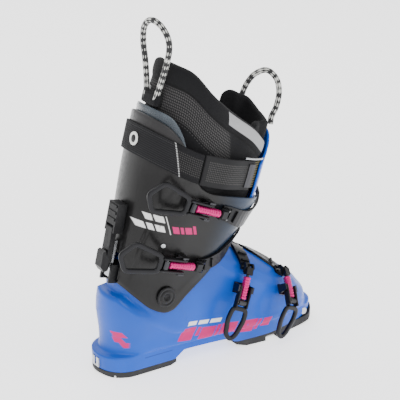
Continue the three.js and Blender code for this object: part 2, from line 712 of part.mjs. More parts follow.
function spoiler() {
  const spread = 0.86;
  const low = () => 168;
  const high = (phi) => spoilerHigh(backness(phi));
  return wrap(3, 12, Math.PI - spread, Math.PI + spread, low, high, () => -SPOILER_DEPTH, SPOILER_WALL);
}

add('cuff', cuff(), SMOKE);
add('cuff_flap', cuffFlap(), BLUE);
add('spoiler', spoiler(), GREY_SMOKE);

// ---- leg liner and tongue -------------------------------------------------------------------
// Both end below on a round about the ankle pivot, and in front on a plane that clears the shell.
const FRONT_CLEAR = THREE.MathUtils.degToRad(27 + FLEX_FORWARD + 2) + LEAN;

function linerLow(phi, depth) {
  const u = mix(SPINE_U, SHIN_U - 30, backness(phi)) + depth * Math.cos(phi) * -1;
  const round = Math.sqrt(Math.max(0, (SPLIT_R + SPLIT_CLEAR) ** 2 - u * u));
  return Math.max(round, u * Math.tan(FRONT_CLEAR)) + 1;
}

// How far the liner lies inside the cuff's outer surface: it draws in above the cuff, and makes
// room for the strap and the flap at the front.
function linerDepth(phi, w) {
  const front = smooth((Math.cos(phi) + 0.25) / 0.45);
  const rear = smooth((-Math.cos(phi) - 0.2) / 0.6);
  const above = smooth((w - 140) / 35);
  return CUFF_WALL + 1 + 6.4 * front + (3 + 6 * rear) * above * (1 - front);
}

const LINER_INNER_EDGE = 0.62;
const LINER_OUTER_EDGE = 2 * Math.PI - 0.6;
const collarOuter = curve([[0, COLLAR_TOP], [0.08, COLLAR_TOP - 3], [0.29, 240], [0.44, 226], [0.7, 207],
  [0.93, 188], [1, 186]]);
const collarInner = curve([[0, COLLAR_TOP], [0.08, COLLAR_TOP - 2], [0.3, 246], [0.5, 232], [1, 200]]);

function legLiner() {
  const low = (phi) => linerLow(phi, 8);
  const high = (phi) => (phi > Math.PI ? collarOuter : collarInner)(backness(phi));
  const offset = (phi, w) => -linerDepth(phi, w);
  return wrap(9, 24, LINER_INNER_EDGE, LINER_OUTER_EDGE, low, high, offset, LINER_WALL);
}

const TONGUE_EDGE = 0.95;
const TONGUE_WALL = 8;
const tongueHigh = curve([[-TONGUE_EDGE, 205], [-0.4, 208], [0, 214], [0.45, 229], [TONGUE_EDGE, 236]]);

function tongueDepth(phi) {
  const under = smooth((Math.abs(phi) - 0.34) / 0.22);
  return linerDepth(0, 120) + 0.8 + under * (LINER_WALL + 0.2);
}

function tongue() {
  const low = () => linerLow(0, 20);
  return wrap(8, 12, -TONGUE_EDGE, TONGUE_EDGE, low, tongueHigh, (phi) => -tongueDepth(phi), TONGUE_WALL);
}

add('leg_liner', legLiner(), FABRIC);
add('tongue', tongue(), FABRIC);

// ---- power strap ----------------------------------------------------------------------------
// Webbing round the back of the cuff, a padded overlay on the outer side, elastic and a steel hook
// that tucks in under the flap. Its middle line climbs from the shin to the spine.
const strapMid = curve([[0, 173], [0.1, 167], [0.3, 157], [0.6, 151], [1, 146]]);
const OVERLAY_FROM = 2 * Math.PI - 1.98;
const OVERLAY_TO = 2 * Math.PI - 0.98;
const ELASTIC_TO = 2 * Math.PI - 0.66;
const WEBBING_INNER_EDGE = 1.02;
const STRAP_CLEAR = 0.8;

function strapPiece(columns, from, to, half, lift, thickness) {
  const low = (phi) => strapMid(backness(phi)) - half;
  const high = (phi) => strapMid(backness(phi)) + half;
  return wrap(2, columns, from, to, low, high, (phi) => lift(phi), thickness);
}

// Height of the overlay above the cuff: outside it at the back, down on the liner in front.
function overlayLift(phi) {
  const forward = (phi - OVERLAY_FROM) / (OVERLAY_TO - OVERLAY_FROM);
  return mix(3 + STRAP_CLEAR, -CUFF_WALL - 1.2, smooth((forward - 0.35) / 0.5));
}

function strapWebbing() {
  const lift = () => STRAP_THICK + STRAP_CLEAR;
  const band = strapPiece(20, WEBBING_INNER_EDGE, OVERLAY_FROM - 0.01, STRAP_WIDTH / 2, lift, STRAP_THICK);
  return band;
}

add('strap_webbing', strapWebbing(), BLACK);
add('strap_overlay', strapPiece(12, OVERLAY_FROM, OVERLAY_TO, STRAP_WIDTH / 2 + 1, overlayLift, 3), FABRIC);
add('strap_elastic', strapPiece(4, OVERLAY_TO + 0.01, ELASTIC_TO, STRAP_WIDTH / 2 - 1,
  () => -FLAP_DEPTH - FLAP_WALL - 0.6, 1.8), BLACK);

// ---- buckles --------------------------------------------------------------------------------
// Each buckle is drawn in its own frame: +X along the pull towards the catch, +Y out of the
// shell, +Z across, with the origin on the shell's surface below the lever's pin.
const EAR_R = 4.4;
const BASE_PLATE = 2;
const BASE_LIFT = 1.5;

const CUFF_LOOP = [[0, -11], [-36, -21], [-51, 0], [-40, 20], [0, 11]];
const SHELL_LOOP = [[0, -11], [-16, -13], [-36, -8], [-41, 1], [-35, 8], [-14, 13], [0, 11]];

// at is the place of the lever's pin on the surface, and to is the place under the claw. ladder
// lists how far round the front the catch is, its height there, and its lift off the surface.
const BUCKLES = [
  {
    name: 'upper', clear: 0.3, ride: 0, side: cuffSide, surface: cuffPoint, section: cuffSection, holds: cuffHolds, at: [20, 111],
    to: [52, 105.5], reach: 22, barrel: 35, bend: 17, loop: CUFF_LOOP, half: 11,
    ladder: [[-0.85, 97], [-0.45, 104], [-0.1, 117], [0.3, 121], [0.8, 116]],
  },
  {
    name: 'lower', clear: 0.3, ride: 0, side: cuffSide, surface: cuffPoint, section: cuffSection, holds: cuffHolds, at: [4, 43],
    to: [36.5, 40.5], reach: 22, barrel: 35, bend: 19, loop: CUFF_LOOP, half: 9,
    ladder: [[-1, 47], [-0.7, 62], [-0.4, 73], [0, 77], [0.8, 74]],
  },
  {
    name: 'instep', clear: 2.2, ride: 3, side: shellSide, surface: shellPoint, section: shellSection, holds: shellHolds, at: [133, 84],
    to: [144, 109], reach: 16, barrel: 27, bend: 12, loop: SHELL_LOOP, half: 9,
    ladder: [[-0.5, 115], [-0.1, 119], [0.3, 118], [0.9, 104]],
  },
  {
    name: 'toe', clear: 0.8, ride: 3.2, side: shellSide, surface: shellPoint, section: shellSection, holds: shellHolds, at: [TOE_TIP - 70, 61],
    to: [TOE_TIP - 64, 83.5], reach: 16, barrel: 27, bend: 42, loop: SHELL_LOOP, half: 9,
    ladder: [[-0.28, 95], [-0.05, 104], [0.25, 105], [0.8, 92]],
  },
];

// The frame of a buckle: x runs from under the lever's pin to under the claw, y is outward.
function buckleFrame({ side, at, claw, ride }) {
  const out = normalAt(side, ...at, V(0, -1, 0));
  const foot = side(...at).addScaledVector(out, ride);
  const pull = V(0, 0, 0);
  for (let round = 0; round < 4; round++) {
    pull.copy(claw).addScaledVector(out, ride - CLAW_HEIGHT).sub(foot).normalize();
    out.addScaledVector(pull, -pull.dot(out)).normalize();
  }
  const across = V(0, 0, 0).crossVectors(pull, out);
  return new THREE.Matrix4().makeBasis(pull, out, across).setPosition(foot);
}

function buckleBase({ ride }) {
  const half = ARM_INNER + ARM_THICK + 0.4 + 2;
  const floor = box([-6, BASE_LIFT, -half], [7, BASE_LIFT + BASE_PLATE, half]);
  const boss = rod(V(0, GAP + 0.7 - ride, 0), V(0, BASE_LIFT + 1, 0), 3.2, 16);
  const parts = [floor, boss];
  for (const side of [-1, 1]) {
    const ear = slab([[-5, BASE_LIFT], [6, BASE_LIFT], [4.5, PIN_HEIGHT + 3], [-3.5, PIN_HEIGHT + 3]], 2);
    ear.translate(0, 0, side > 0 ? half - 2 : -half);
    parts.push(ear);
    parts.push(rod(V(0, PIN_HEIGHT, side * (half - 1)), V(0, PIN_HEIGHT, side * (ARM_INNER + 0.3)), PIN_R));
  }
  return join(...parts);
}

function buckleLever({ reach, loop, bend }) {
  const pinAt = [-reach, ROD_HEIGHT];
  const arm = [
    [EAR_R, PIN_HEIGHT], [EAR_R * 0.7, PIN_HEIGHT + EAR_R * 0.7], [0, PIN_HEIGHT + EAR_R],
    [-reach, ROD_HEIGHT + 3.6], [-reach - 7, ROD_HEIGHT + 2.4], [-reach - 7, ROD_HEIGHT - 2.4],
    [-reach, ROD_HEIGHT - 3.6], [0, PIN_HEIGHT - EAR_R], [EAR_R * 0.7, PIN_HEIGHT - EAR_R * 0.7],
  ];
  const parts = [-1, 1].map((side) => slab(arm, ARM_THICK, [ring(0, PIN_HEIGHT, PIN_HOLE_R)])
    .translate(0, 0, side > 0 ? ARM_INNER : -ARM_INNER - ARM_THICK));
  parts.push(rod(V(...pinAt, -ARM_INNER - 1), V(...pinAt, ARM_INNER + 1), PIN_R));
  const width = 5;
  const frame = slab(loop, 5, [inset(loop, -width)]);
  frame.rotateX(Math.PI / 2);
  frame.translate(0, 2.5, 0);
  frame.rotateZ(THREE.MathUtils.degToRad(bend));
  frame.translate(-reach - 4.6 - 2.6 * Math.sin(THREE.MathUtils.degToRad(bend)), ROD_HEIGHT, 0);
  parts.push(frame);
  return join(...parts);
}

// The rod that pulls: an eye round the lever's cross pin, then a threaded stem.
function buckleBail({ reach, barrel }) {
  const eye = slab(ring(-reach, ROD_HEIGHT, 3.8), 2 * ARM_INNER - 2, [ring(-reach, ROD_HEIGHT, PIN_HOLE_R)]);
  eye.translate(0, 0, -ARM_INNER + 1);
  const stem = rod(
    V(-reach + PIN_HOLE_R + 0.7, ROD_HEIGHT, 0),
    V(-reach + 4.6 + barrel + 9, ROD_HEIGHT, 0),
    ROD_R,
  );
  return join(eye, stem);
}

function buckleBarrel({ reach, barrel }) {
  const from = -reach + 4.4;
  const profile = [
    [ROD_BORE_R, 0], [BARREL_R - 0.7, 0], [BARREL_R, 0.8], [BARREL_R, barrel - 0.8],
    [BARREL_R - 0.7, barrel], [ROD_BORE_R, barrel], [ROD_BORE_R, 0],
  ];
  const geometry = new THREE.LatheGeometry(profile.map((p) => new THREE.Vector2(...p)), 14);
  return geometry.rotateZ(-Math.PI / 2).translate(from, ROD_HEIGHT, 0);
}

const CLAW_R = 1.4;
const CLAW_HEIGHT = CATCH_LIFT + CATCH_THICK + CLAW_R + 1;
const HOOK_TRAVEL = 2;
const hookAt = ({ reach, barrel }) => -reach + 4.4 + barrel + HOOK_TRAVEL + GAP;

// The hook slides on the rod as the barrel is turned; its claw bar bears on a catch tooth.
function buckleHook(buckle) {
  const x = hookAt(buckle);
  const clawHeight = CLAW_HEIGHT - buckle.ride;
  const block = slab([[x, 6.4], [x + 9, 6.4], [x + 9, 12.6], [x + 1, 13.6], [x, 12]], 9);
  block.translate(0, 0, -4.5);
  const bore = rod(V(x - 1, ROD_HEIGHT, 0), V(x + 12, ROD_HEIGHT, 0), ROD_BORE_R);
  const cheeks = [-1, 1].map((side) => slab(
    [[x + 2, 7], [x + 9, 12], [x + 14.2, 8.5], [x + 14, clawHeight - 0.6], [x + 11.4, clawHeight - 0.6],
      [x + 10.4, 7]],
    2.4,
  ).translate(0, 0, side > 0 ? 4 : -6.4));
  const claw = rod(V(x + 12.8, clawHeight, -7.4), V(x + 12.8, clawHeight, 7.4), CLAW_R);
  return cut(join(block, ...cheeks, claw), bore);
}

// A catch is a ladder that lies on the shell: a path of points and normals, flat across.
function ladder(path, halfAt, solidAt) {
  const across = path.map(({ p, n }, k) => {
    const before = path[Math.max(0, k - 1)].p;
    const after = path[Math.min(path.length - 1, k + 1)].p;
    return V(0, 0, 0).crossVectors(after.clone().sub(before), n).normalize();
  });
  const lanes = [-1, -0.58, 0.58, 1];
  const points = [];
  path.forEach(({ p, n }, k) => {
    for (const lane of lanes) {
      for (const lift of [CATCH_LIFT, CATCH_LIFT + CATCH_THICK]) {
        points.push(p.clone().addScaledVector(across[k], lane * halfAt(k)).addScaledVector(n, lift));
      }
    }
  });
  const at = (k, lane, top) => (k * lanes.length + lane) * 2 + top;
  const filled = (k, lane) => k >= 0 && k < path.length - 1 && lane >= 0 && lane < 3
    && (lane !== 1 || solidAt(k));
  const triangles = [];
  for (let k = 0; k < path.length - 1; k++) {
    for (let lane = 0; lane < 3; lane++) {
      if (!filled(k, lane)) continue;
      quad(triangles, at(k, lane, 1), at(k + 1, lane, 1), at(k + 1, lane + 1, 1), at(k, lane + 1, 1));
      quad(triangles, at(k, lane, 0), at(k, lane + 1, 0), at(k + 1, lane + 1, 0), at(k + 1, lane, 0));
      if (!filled(k - 1, lane)) {
        quad(triangles, at(k, lane, 0), at(k, lane, 1), at(k, lane + 1, 1), at(k, lane + 1, 0));
      }
      if (!filled(k + 1, lane)) {
        quad(triangles, at(k + 1, lane, 0), at(k + 1, lane + 1, 0), at(k + 1, lane + 1, 1), at(k + 1, lane, 1));
      }
      if (!filled(k, lane - 1)) {
        quad(triangles, at(k, lane, 0), at(k + 1, lane, 0), at(k + 1, lane, 1), at(k, lane, 1));
      }
      if (!filled(k, lane + 1)) {
        quad(triangles, at(k, lane + 1, 0), at(k, lane + 1, 1), at(k + 1, lane + 1, 1), at(k + 1, lane + 1, 0));
      }
    }
  }
  return closedMesh(points, triangles);
}


const FREE_END = 6.5;                   // catch length on the lever's side of the claw
const LADDER_STEPS = 22;
const TOOTH_PITCH = 2 * (CLAW_R + HOOK_TRAVEL + 0.45) + 2.2;

// The catch's route: from its free end under the claw, round the front to the inner side. It is
// lifted wherever its flat width would cut into the surface.
function ladderPath({ surface, section, holds, at, to, half, clear, ladder: route }) {
  const phiAt = ([x, level]) => {
    const { rear, front } = section(level, 0, 0);
    return -Math.acos(clamp01((x - rear) / (front - rear)) * 2 - 1);
  };
  const back = new THREE.Vector2(...at).sub(new THREE.Vector2(...to)).setLength(FREE_END);
  const free = [to[0] + back.x, to[1] + back.y];
  const stops = [[phiAt(free), free[1]], [phiAt(to), to[1]], ...route];
  const levelAt = curve(stops);
  const base = (phi) => surface(phi, levelAt(phi), 0, 0);
  const phis = steps(stops[0][0], stops.at(-1)[0], LADDER_STEPS);
  const path = phis.map((phi) => ({ p: base(phi), n: normalAround(surface, phi, levelAt(phi)) }));
  const lifts = path.map(({ p, n }, k) => {
    const across = V(0, 0, 0).crossVectors(path[Math.min(k + 1, LADDER_STEPS)].p.clone()
      .sub(path[Math.max(k - 1, 0)].p), n).setLength(half);
    let lift = 0;
    while ([-1, 1].some((side) => holds(p.clone().addScaledVector(n, lift + CATCH_LIFT - clear)
      .addScaledVector(across, side)))) lift += 0.25;
    return lift;
  });
  return path.map(({ p, n }, k) => {
    const lift = Math.max(...lifts.slice(Math.max(0, k - 1), k + 2));
    return { p: p.addScaledVector(n, lift), n };
  });
}

function buckleCatch({ path, half }) {
  const taper = (k) => half * (0.8 + 0.2 * smooth(k / 6));
  const solidAt = (k) => k < 9 || k === LADDER_STEPS - 7 || k > LADDER_STEPS - 3;
  let geometry = ladder(path, taper, solidAt);
  for (const pitches of [-0.5, 0.5, 1.5]) {
    geometry = join(geometry, toothAt(path, FREE_END + pitches * TOOTH_PITCH, half * 0.8));
  }
  return geometry;
}

// The frame that lies on a catch at a distance along its path.
function frameOn(path, distance) {
  let k = 0;
  let run = 0;
  while (run + path[k].p.distanceTo(path[k + 1].p) < distance) {
    run += path[k].p.distanceTo(path[k + 1].p);
    k += 1;
  }
  const along = path[k + 1].p.clone().sub(path[k].p).normalize();
  const place = path[k].p.clone().addScaledVector(along, distance - run);
  const across = V(0, 0, 0).crossVectors(along, path[k].n).normalize();
  const out = V(0, 0, 0).crossVectors(across, along);
  return new THREE.Matrix4().makeBasis(along, out, across).setPosition(place);
}

// A tooth across the catch.
function toothAt(path, distance, half) {
  const top = CATCH_LIFT + CATCH_THICK;
  const tooth = box([-1.1, top - 0.7, -half * 0.8], [1.1, top + TOOTH, half * 0.8]);
  return tooth.applyMatrix4(frameOn(path, distance));
}

for (const buckle of BUCKLES) {
  buckle.path = ladderPath(buckle);
  buckle.claw = V(0, CLAW_HEIGHT, 0).applyMatrix4(frameOn(buckle.path, FREE_END));
  const frame = buckleFrame(buckle);
  add(`${buckle.name}_buckle_base`, buckleBase(buckle), DARK_STEEL, frame);
  add(`${buckle.name}_lever`, buckleLever(buckle), BLACK, frame);
  add(`${buckle.name}_bail`, buckleBail(buckle), STEEL, frame);
  add(`${buckle.name}_barrel`, buckleBarrel(buckle), MAGENTA, frame);
  add(`${buckle.name}_hook`, buckleHook(buckle), BLACK, frame);
  add(`${buckle.name}_catch`, buckleCatch(buckle), BLACK);
}

// ---- ankle pivots ---------------------------------------------------------------------------
function pivotBolt(side) {
  const outside = CUFF_HALF + 0.5;
  const disc = rod(V(PIVOT_X, side * outside, PIVOT_Z), V(PIVOT_X, side * (outside + 2.4), PIVOT_Z), PIVOT_DISC_R, 28);
  const shank = rod(V(PIVOT_X, side * (NECK_HALF + 0.6), PIVOT_Z), V(PIVOT_X, side * (outside + 1), PIVOT_Z), PIVOT_SHANK_R, 20);
  const socket = rod(V(PIVOT_X, side * (outside + 1), PIVOT_Z), V(PIVOT_X, side * (outside + 9), PIVOT_Z), 1.6, 6);
  return cut(join(disc, shank), socket);
}

add('pivot_bolt_outer', pivotBolt(-1), BLACK);
add('pivot_bolt_inner', pivotBolt(1), BLACK);

// ---- walk lock on the spine -----------------------------------------------------------------
// A lever at the back pulls a lock bar up out of the shell's bracket. All of it is drawn in the
// leg frame, behind the spine.
const BAR_HALF = 5.5;
const BAR_THICK = 3;
const BAR_BACK = SPINE_U - 5.2;         // rear face of the lock bar
const HOUSING_LOW = 62;
const HOUSING_TOP = 97;
const LEVER_PIN = { u: BAR_BACK - 5, w: HOUSING_LOW + 4 };

function legPiece(geometry) {
  const lean = new THREE.Matrix4().makeBasis(
    V(Math.cos(LEAN), 0, -Math.sin(LEAN)), V(0, 1, 0), V(Math.sin(LEAN), 0, Math.cos(LEAN)));
  return geometry.applyMatrix4(lean.setPosition(PIVOT_X, 0, PIVOT_Z));
}

// A slab whose outline is in the (u, w) plane, centred across the boot.
function legSlab(outline, half, holes = []) {
  const geometry = slab(outline, 2 * half, holes);
  geometry.translate(0, 0, -half).rotateX(Math.PI / 2);
  return geometry;
}

function lockBar() {
  return legPiece(box([BAR_BACK, -BAR_HALF, 8], [BAR_BACK + BAR_THICK, BAR_HALF, HOUSING_LOW - 10]));
}

// The housing is screwed to the spine above the bar, with ears for the lever's pin.
function walkHousing() {
  const back = LEVER_PIN.u - 3;
  const body = box([back, -10, HOUSING_LOW + 9], [SPINE_U - 0.8, 10, HOUSING_TOP]);
  const ribs = [0, 1, 2].map((k) => box(
    [back - 1, -8, HOUSING_LOW + 14 + 8 * k], [back + 2, 8, HOUSING_LOW + 17 + 8 * k]));
  const ears = [-1, 1].map((side) => {
    const ear = box([back, 7.4, HOUSING_LOW], [SPINE_U - 0.8, 10, HOUSING_LOW + 10]);
    return ear.translate(0, side > 0 ? 0 : -17.4, 0);
  });
  const pin = rod(V(LEVER_PIN.u, -8, LEVER_PIN.w), V(LEVER_PIN.u, 8, LEVER_PIN.w), PIN_R);
  return legPiece(join(body, ...ribs, ...ears, pin));
}

function walkLever() {
  const { u, w } = LEVER_PIN;
  const profile = [
    [u - 3.4, w + 1.5], [u, w + 3.6], [u + 3.4, w + 1.5], [u + 3.4, w - 4], [u + 3, 26], [u + 1, 16],
    [u - 4, 14], [u - 9, 20], [u - 9, 38], [u - 6, 40], [u - 3.4, 34],
  ];
  const pinHole = ring(u, w, PIN_HOLE_R);
  return legPiece(legSlab(profile, 6.8, [pinHole]));
}

// The shell's bracket: a channel on the neck that the bar's lower end stands in.
function spineBracket() {
  const back = BAR_BACK + BAR_THICK + 2;
  const floor = legSlab([[back, 2], [-NECK_R - 0.6, 2], [-NECK_R - 0.2, 6], [-NECK_R + 1, 12],
    [-NECK_R + 7, 24], [back, 24]], 10.5);
  const cheeks = [-1, 1].map((side) => {
    const cheek = legSlab([[BAR_BACK - 2, 2], [back + 2, 2], [back + 2, 24], [BAR_BACK - 2, 24]], 1.5);
    return cheek.translate(0, side * 9, 0);
  });
  return legPiece(join(floor, ...cheeks));
}

add('lock_bar', lockBar(), STEEL);
add('walk_housing', walkHousing(), BLACK);
add('walk_lever', walkLever(), BLACK);
add('spine_bracket', spineBracket(), BLACK);

// ---- trim -----------------------------------------------------------------------------------
// A round part on the cuff's surface: a disc standing off it by a gap.
function cuffDisc(phi, w, radius, low, high, sides = 20) {
  const base = cuffPoint(phi, w, 0);
  const out = normalAround(cuffPoint, phi, w);
  return rod(base.clone().addScaledVector(out, low), base.clone().addScaledVector(out, high), radius, sides);
}

const STRAP_OUTSIDE = STRAP_THICK + STRAP_CLEAR;
const spineRivet = cut(
  cuffDisc(Math.PI, strapMid(0), 8, STRAP_OUTSIDE + GAP, STRAP_OUTSIDE + 2.2, 24),
  cuffDisc(Math.PI, strapMid(0), 4.6, STRAP_OUTSIDE + 1.2, STRAP_OUTSIDE + 5, 20),
);
add('strap_rivet_spine', spineRivet, WHITE);
add('strap_rivet_inner', cuffDisc(1.2, strapMid(backness(1.2)), 5, STRAP_OUTSIDE + GAP, STRAP_OUTSIDE + 2), DARK_STEEL);
add('cuff_screw', cuffDisc(Math.PI + 0.95, 62, 2.6, GAP, 1.6, 10), STEEL);

// Rubber tab that covers the end of the overlay, and the steel hook above it.
add('strap_tab', strapPiece(2, OVERLAY_TO - 0.17, OVERLAY_TO - 0.02, STRAP_WIDTH / 2 - 3,
  (phi) => overlayLift(phi) + 1.6, 1.2), DARK_STEEL);

function strapHook() {
  const height = (phi) => strapMid(backness(phi)) + STRAP_WIDTH / 2 + 3.4;
  const phis = steps(OVERLAY_TO - 0.28, OVERLAY_TO + 0.2, 5);
  const route = phis.map((phi) => cuffPoint(phi, height(phi), -CUFF_WALL - 1));
  return tube(route, 1.2, 6, 8);
}

// A tube of even section along a smooth curve through points.
function tube(route, radius, sides, stepsAlong) {
  const path = new THREE.CatmullRomCurve3(route, false, 'centripetal');
  const section = ring(0, 0, radius, sides).map(([x, y]) => new THREE.Vector2(x, y));
  return new THREE.ExtrudeGeometry(new THREE.Shape(section), { steps: stepsAlong, extrudePath: path });
}

add('strap_hook', strapHook(), STEEL);

// ---- pull loops -----------------------------------------------------------------------------
// Braided cord, sewn to the back of the liner and to the tongue. The points are the cord's middle.
const REAR_LOOP = [
  [41, 9, 321], [45, 13, 338], [48, 20, 363], [48, 24, 386], [47, 19, 404],
  [47.5, 6, 413.5], [50.5, -9, 410], [53, -20, 398], [53, -23, 386], [50, -21, 367],
  [46.5, -15, 345], [42, -10, 325],
];
const TONGUE_LOOP = [
  [203.5, -9, 266], [206, -8, 275], [214, -6, 285], [221, -2, 303], [221.5, 6, 317],
  [213, 13, 326], [203, 22, 321], [197, 29, 310], [193.5, 33, 299], [190, 34, 288],
];

function pullLoop(points) {
  return tube(points.map((p) => V(...p)), CORD_D / 2, 8, 40);
}

add('rear_loop', pullLoop(REAR_LOOP), CORD);
add('tongue_loop', pullLoop(TONGUE_LOOP), CORD);

// A pale fabric tab sewn on behind the rear loop.
function rearTab() {
  const depth = linerDepth(Math.PI, 220);
  const phi = Math.PI - 0.3;
  return wrap(2, 2, phi - 0.1, phi + 0.1, () => 212, () => 232, () => -depth + 2.2, 1.6);
}
add('rear_tab', rearTab(), PALE_FABRIC);

export default boot;
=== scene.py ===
import json
import math

import bmesh
import bpy
from mathutils import Matrix, Vector


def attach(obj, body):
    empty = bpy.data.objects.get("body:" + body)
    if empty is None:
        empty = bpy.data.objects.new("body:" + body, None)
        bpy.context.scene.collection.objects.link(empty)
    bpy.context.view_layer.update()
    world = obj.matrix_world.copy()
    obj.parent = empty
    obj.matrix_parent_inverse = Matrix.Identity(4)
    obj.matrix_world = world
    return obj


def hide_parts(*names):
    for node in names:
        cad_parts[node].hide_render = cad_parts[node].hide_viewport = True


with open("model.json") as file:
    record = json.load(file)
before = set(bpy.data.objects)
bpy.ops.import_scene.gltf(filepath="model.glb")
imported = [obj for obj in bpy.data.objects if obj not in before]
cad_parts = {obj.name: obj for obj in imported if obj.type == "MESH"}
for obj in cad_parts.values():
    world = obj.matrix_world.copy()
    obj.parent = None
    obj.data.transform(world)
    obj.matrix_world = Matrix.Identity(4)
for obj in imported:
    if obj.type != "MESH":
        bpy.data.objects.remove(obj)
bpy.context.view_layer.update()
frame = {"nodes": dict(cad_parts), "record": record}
JOINTS = {joint["name"]: joint for joint in frame["record"]["behaviour"]["joints"]}
MM = 0.001
TAU = 2 * math.pi

# ---- camera ---------------------------------------------------------------------------------
def make_camera():
    azimuth, elevation, distance = math.radians(-33.5), math.radians(21.726), 1.8
    target = Vector((0.108927, 0, 0.186144))
    back = Vector((
        math.sin(azimuth) * math.cos(elevation),
        -math.cos(azimuth) * math.cos(elevation),
        math.sin(elevation),
    ))
    data = bpy.data.cameras.new("camera")
    data.lens = 136.595
    data.sensor_width = 36
    camera = bpy.data.objects.new("camera", data)
    camera.location = target + back * distance
    camera.rotation_mode = "QUATERNION"
    camera.rotation_quaternion = (-back).to_track_quat("-Z", "Y")
    bpy.context.collection.objects.link(camera)
    bpy.context.scene.camera = camera


make_camera()


# ---- material nodes -------------------------------------------------------------------------
class Shader:
    """A material's node tree, with short calls for the nodes used here."""

    def __init__(self, name):
        self.material = bpy.data.materials.new(name)
        self.material.use_nodes = True
        self.tree = self.material.node_tree
        self.tree.nodes.clear()
        self.bsdf = self.node("ShaderNodeBsdfPrincipled")
        output = self.node("ShaderNodeOutputMaterial")
        self.tree.links.new(self.bsdf.outputs[0], output.inputs[0])
        coordinates = self.node("ShaderNodeTexCoord")
        self.at = coordinates.outputs["Object"]
        self.uv = coordinates.outputs["UV"]
        split = self.node("ShaderNodeSeparateXYZ", {}, {0: self.at})
        self.x, self.y, self.z = split.outputs
        split = self.node("ShaderNodeSeparateXYZ", {}, {0: self.uv})
        self.u, self.v = split.outputs[0], split.outputs[1]

    def node(self, kind, settings=None, sockets=None):
        made = self.tree.nodes.new(kind)
        for key, value in (settings or {}).items():
            setattr(made, key, value)
        for key, value in (sockets or {}).items():
            self.put(made.inputs[key], value)
        return made

    def put(self, socket, value):
        if isinstance(value, bpy.types.NodeSocket):
            self.tree.links.new(value, socket)
        elif isinstance(value, tuple) and len(value) == 3 and socket.type == "RGBA":
            socket.default_value = (*value, 1)
        else:
            socket.default_value = value

    def math(self, operation, a, b=0.0):
        return self.node("ShaderNodeMath", {"operation": operation}, {0: a, 1: b}).outputs[0]

    def add(self, a, b):
        return self.math("ADD", a, b)

    def times(self, a, b):
        return self.math("MULTIPLY", a, b)

    def step(self, value, low, high):
        """0 below low and 1 above high, smooth between; falls instead if low is above high."""
        settings = {"interpolation_type": "SMOOTHSTEP", "clamp": True}
        if low <= high:
            sockets = {0: value, 1: low, 2: high, 3: 0.0, 4: 1.0}
        else:
            sockets = {0: value, 1: high, 2: low, 3: 1.0, 4: 0.0}
        return self.node("ShaderNodeMapRange", settings, sockets).outputs[0]

    def between(self, value, low, high, soft):
        rise = self.step(value, low - soft, low + soft)
        return self.times(rise, self.step(value, high + soft, high - soft))

    def mix(self, factor, a, b):
        made = self.node("ShaderNodeMix", {"data_type": "RGBA"})
        for index, value in ((0, factor), (6, a), (7, b)):
            self.put(made.inputs[index], value)
        return made.outputs[2]

    def noise(self, scale, detail=3.0, vector=None):
        sockets = {"Vector": vector or self.at, "Scale": scale, "Detail": detail}
        return self.node("ShaderNodeTexNoise", {}, sockets).outputs[0]

    def cells(self, feature, scale, randomness):
        sockets = {"Vector": self.uv, "Scale": scale, "Randomness": randomness}
        return self.node("ShaderNodeTexVoronoi", {"feature": feature}, sockets).outputs[0]

    def wave(self, value, per_metre):
        """A smooth wave from 0 to 1, per_metre times a metre along value."""
        sine = self.math("SINE", self.times(value, TAU * per_metre))
        return self.add(self.times(sine, 0.5), 0.5)

    def slanted(self, x_weight, z_weight, offset=0.0):
        return self.add(self.add(self.times(self.x, x_weight), self.times(self.z, z_weight)), offset)

    def finish(self, color, roughness, bump=None, depth=0.0002, strength=0.6, **others):
        self.put(self.bsdf.inputs["Base Color"], color)
        self.put(self.bsdf.inputs["Roughness"], roughness)
        for key, value in others.items():
            self.put(self.bsdf.inputs[key.replace("_", " ")], value)
        if bump is not None:
            sockets = {"Height": bump, "Distance": depth, "Strength": strength}
            made = self.node("ShaderNodeBump", {}, sockets)
            self.put(self.bsdf.inputs["Normal"], made.outputs[0])
        return self.material


def moulded(name, color, low, high, paint, vary, coat):
    """Moulded plastic: a slow change of shade, a fine orange peel and scuffs in the gloss."""
    s = Shader(name)
    slow = s.noise(12.0, 2.0)
    fine = s.noise(1800.0, 4.0)
    dark = tuple(c * vary for c in color)
    shade = s.mix(s.step(slow, 0.3, 0.7), dark, color)
    if paint:
        shade = paint(s, shade)
    scuff = s.noise(240.0, 5.0)
    rough = s.add(s.times(s.step(scuff, 0.35, 0.75), high - low), low)
    return s.finish(shade, rough, fine, 0.00006, 0.5,
                    Coat_Weight=coat * 0.5, Coat_Roughness=0.2, Specular_IOR_Level=0.2)


def metal(name, color, low=0.18, high=0.38, brushed=900.0, metallic=1.0):
    s = Shader(name)
    stretch = s.node("ShaderNodeMapping", {}, {0: s.at, 3: (brushed, brushed * 0.06, brushed)}).outputs[0]
    lines = s.noise(1.0, 3.0, stretch)
    shade = s.mix(s.noise(180.0, 2.0), tuple(c * 0.8 for c in color), color)
    rough = s.add(s.times(lines, high - low), low)
    return s.finish(shade, rough, lines, 0.00004, 0.4, Metallic=metallic)


def rubber(name, color):
    s = Shader(name)
    grain = s.noise(2600.0, 4.0)
    dust = s.step(s.noise(45.0, 5.0), 0.45, 0.8)
    shade = s.mix(dust, color, tuple(c * 1.9 + 0.01 for c in color))
    return s.finish(shade, s.add(s.times(grain, 0.15), 0.62), grain, 0.00012, 0.6)


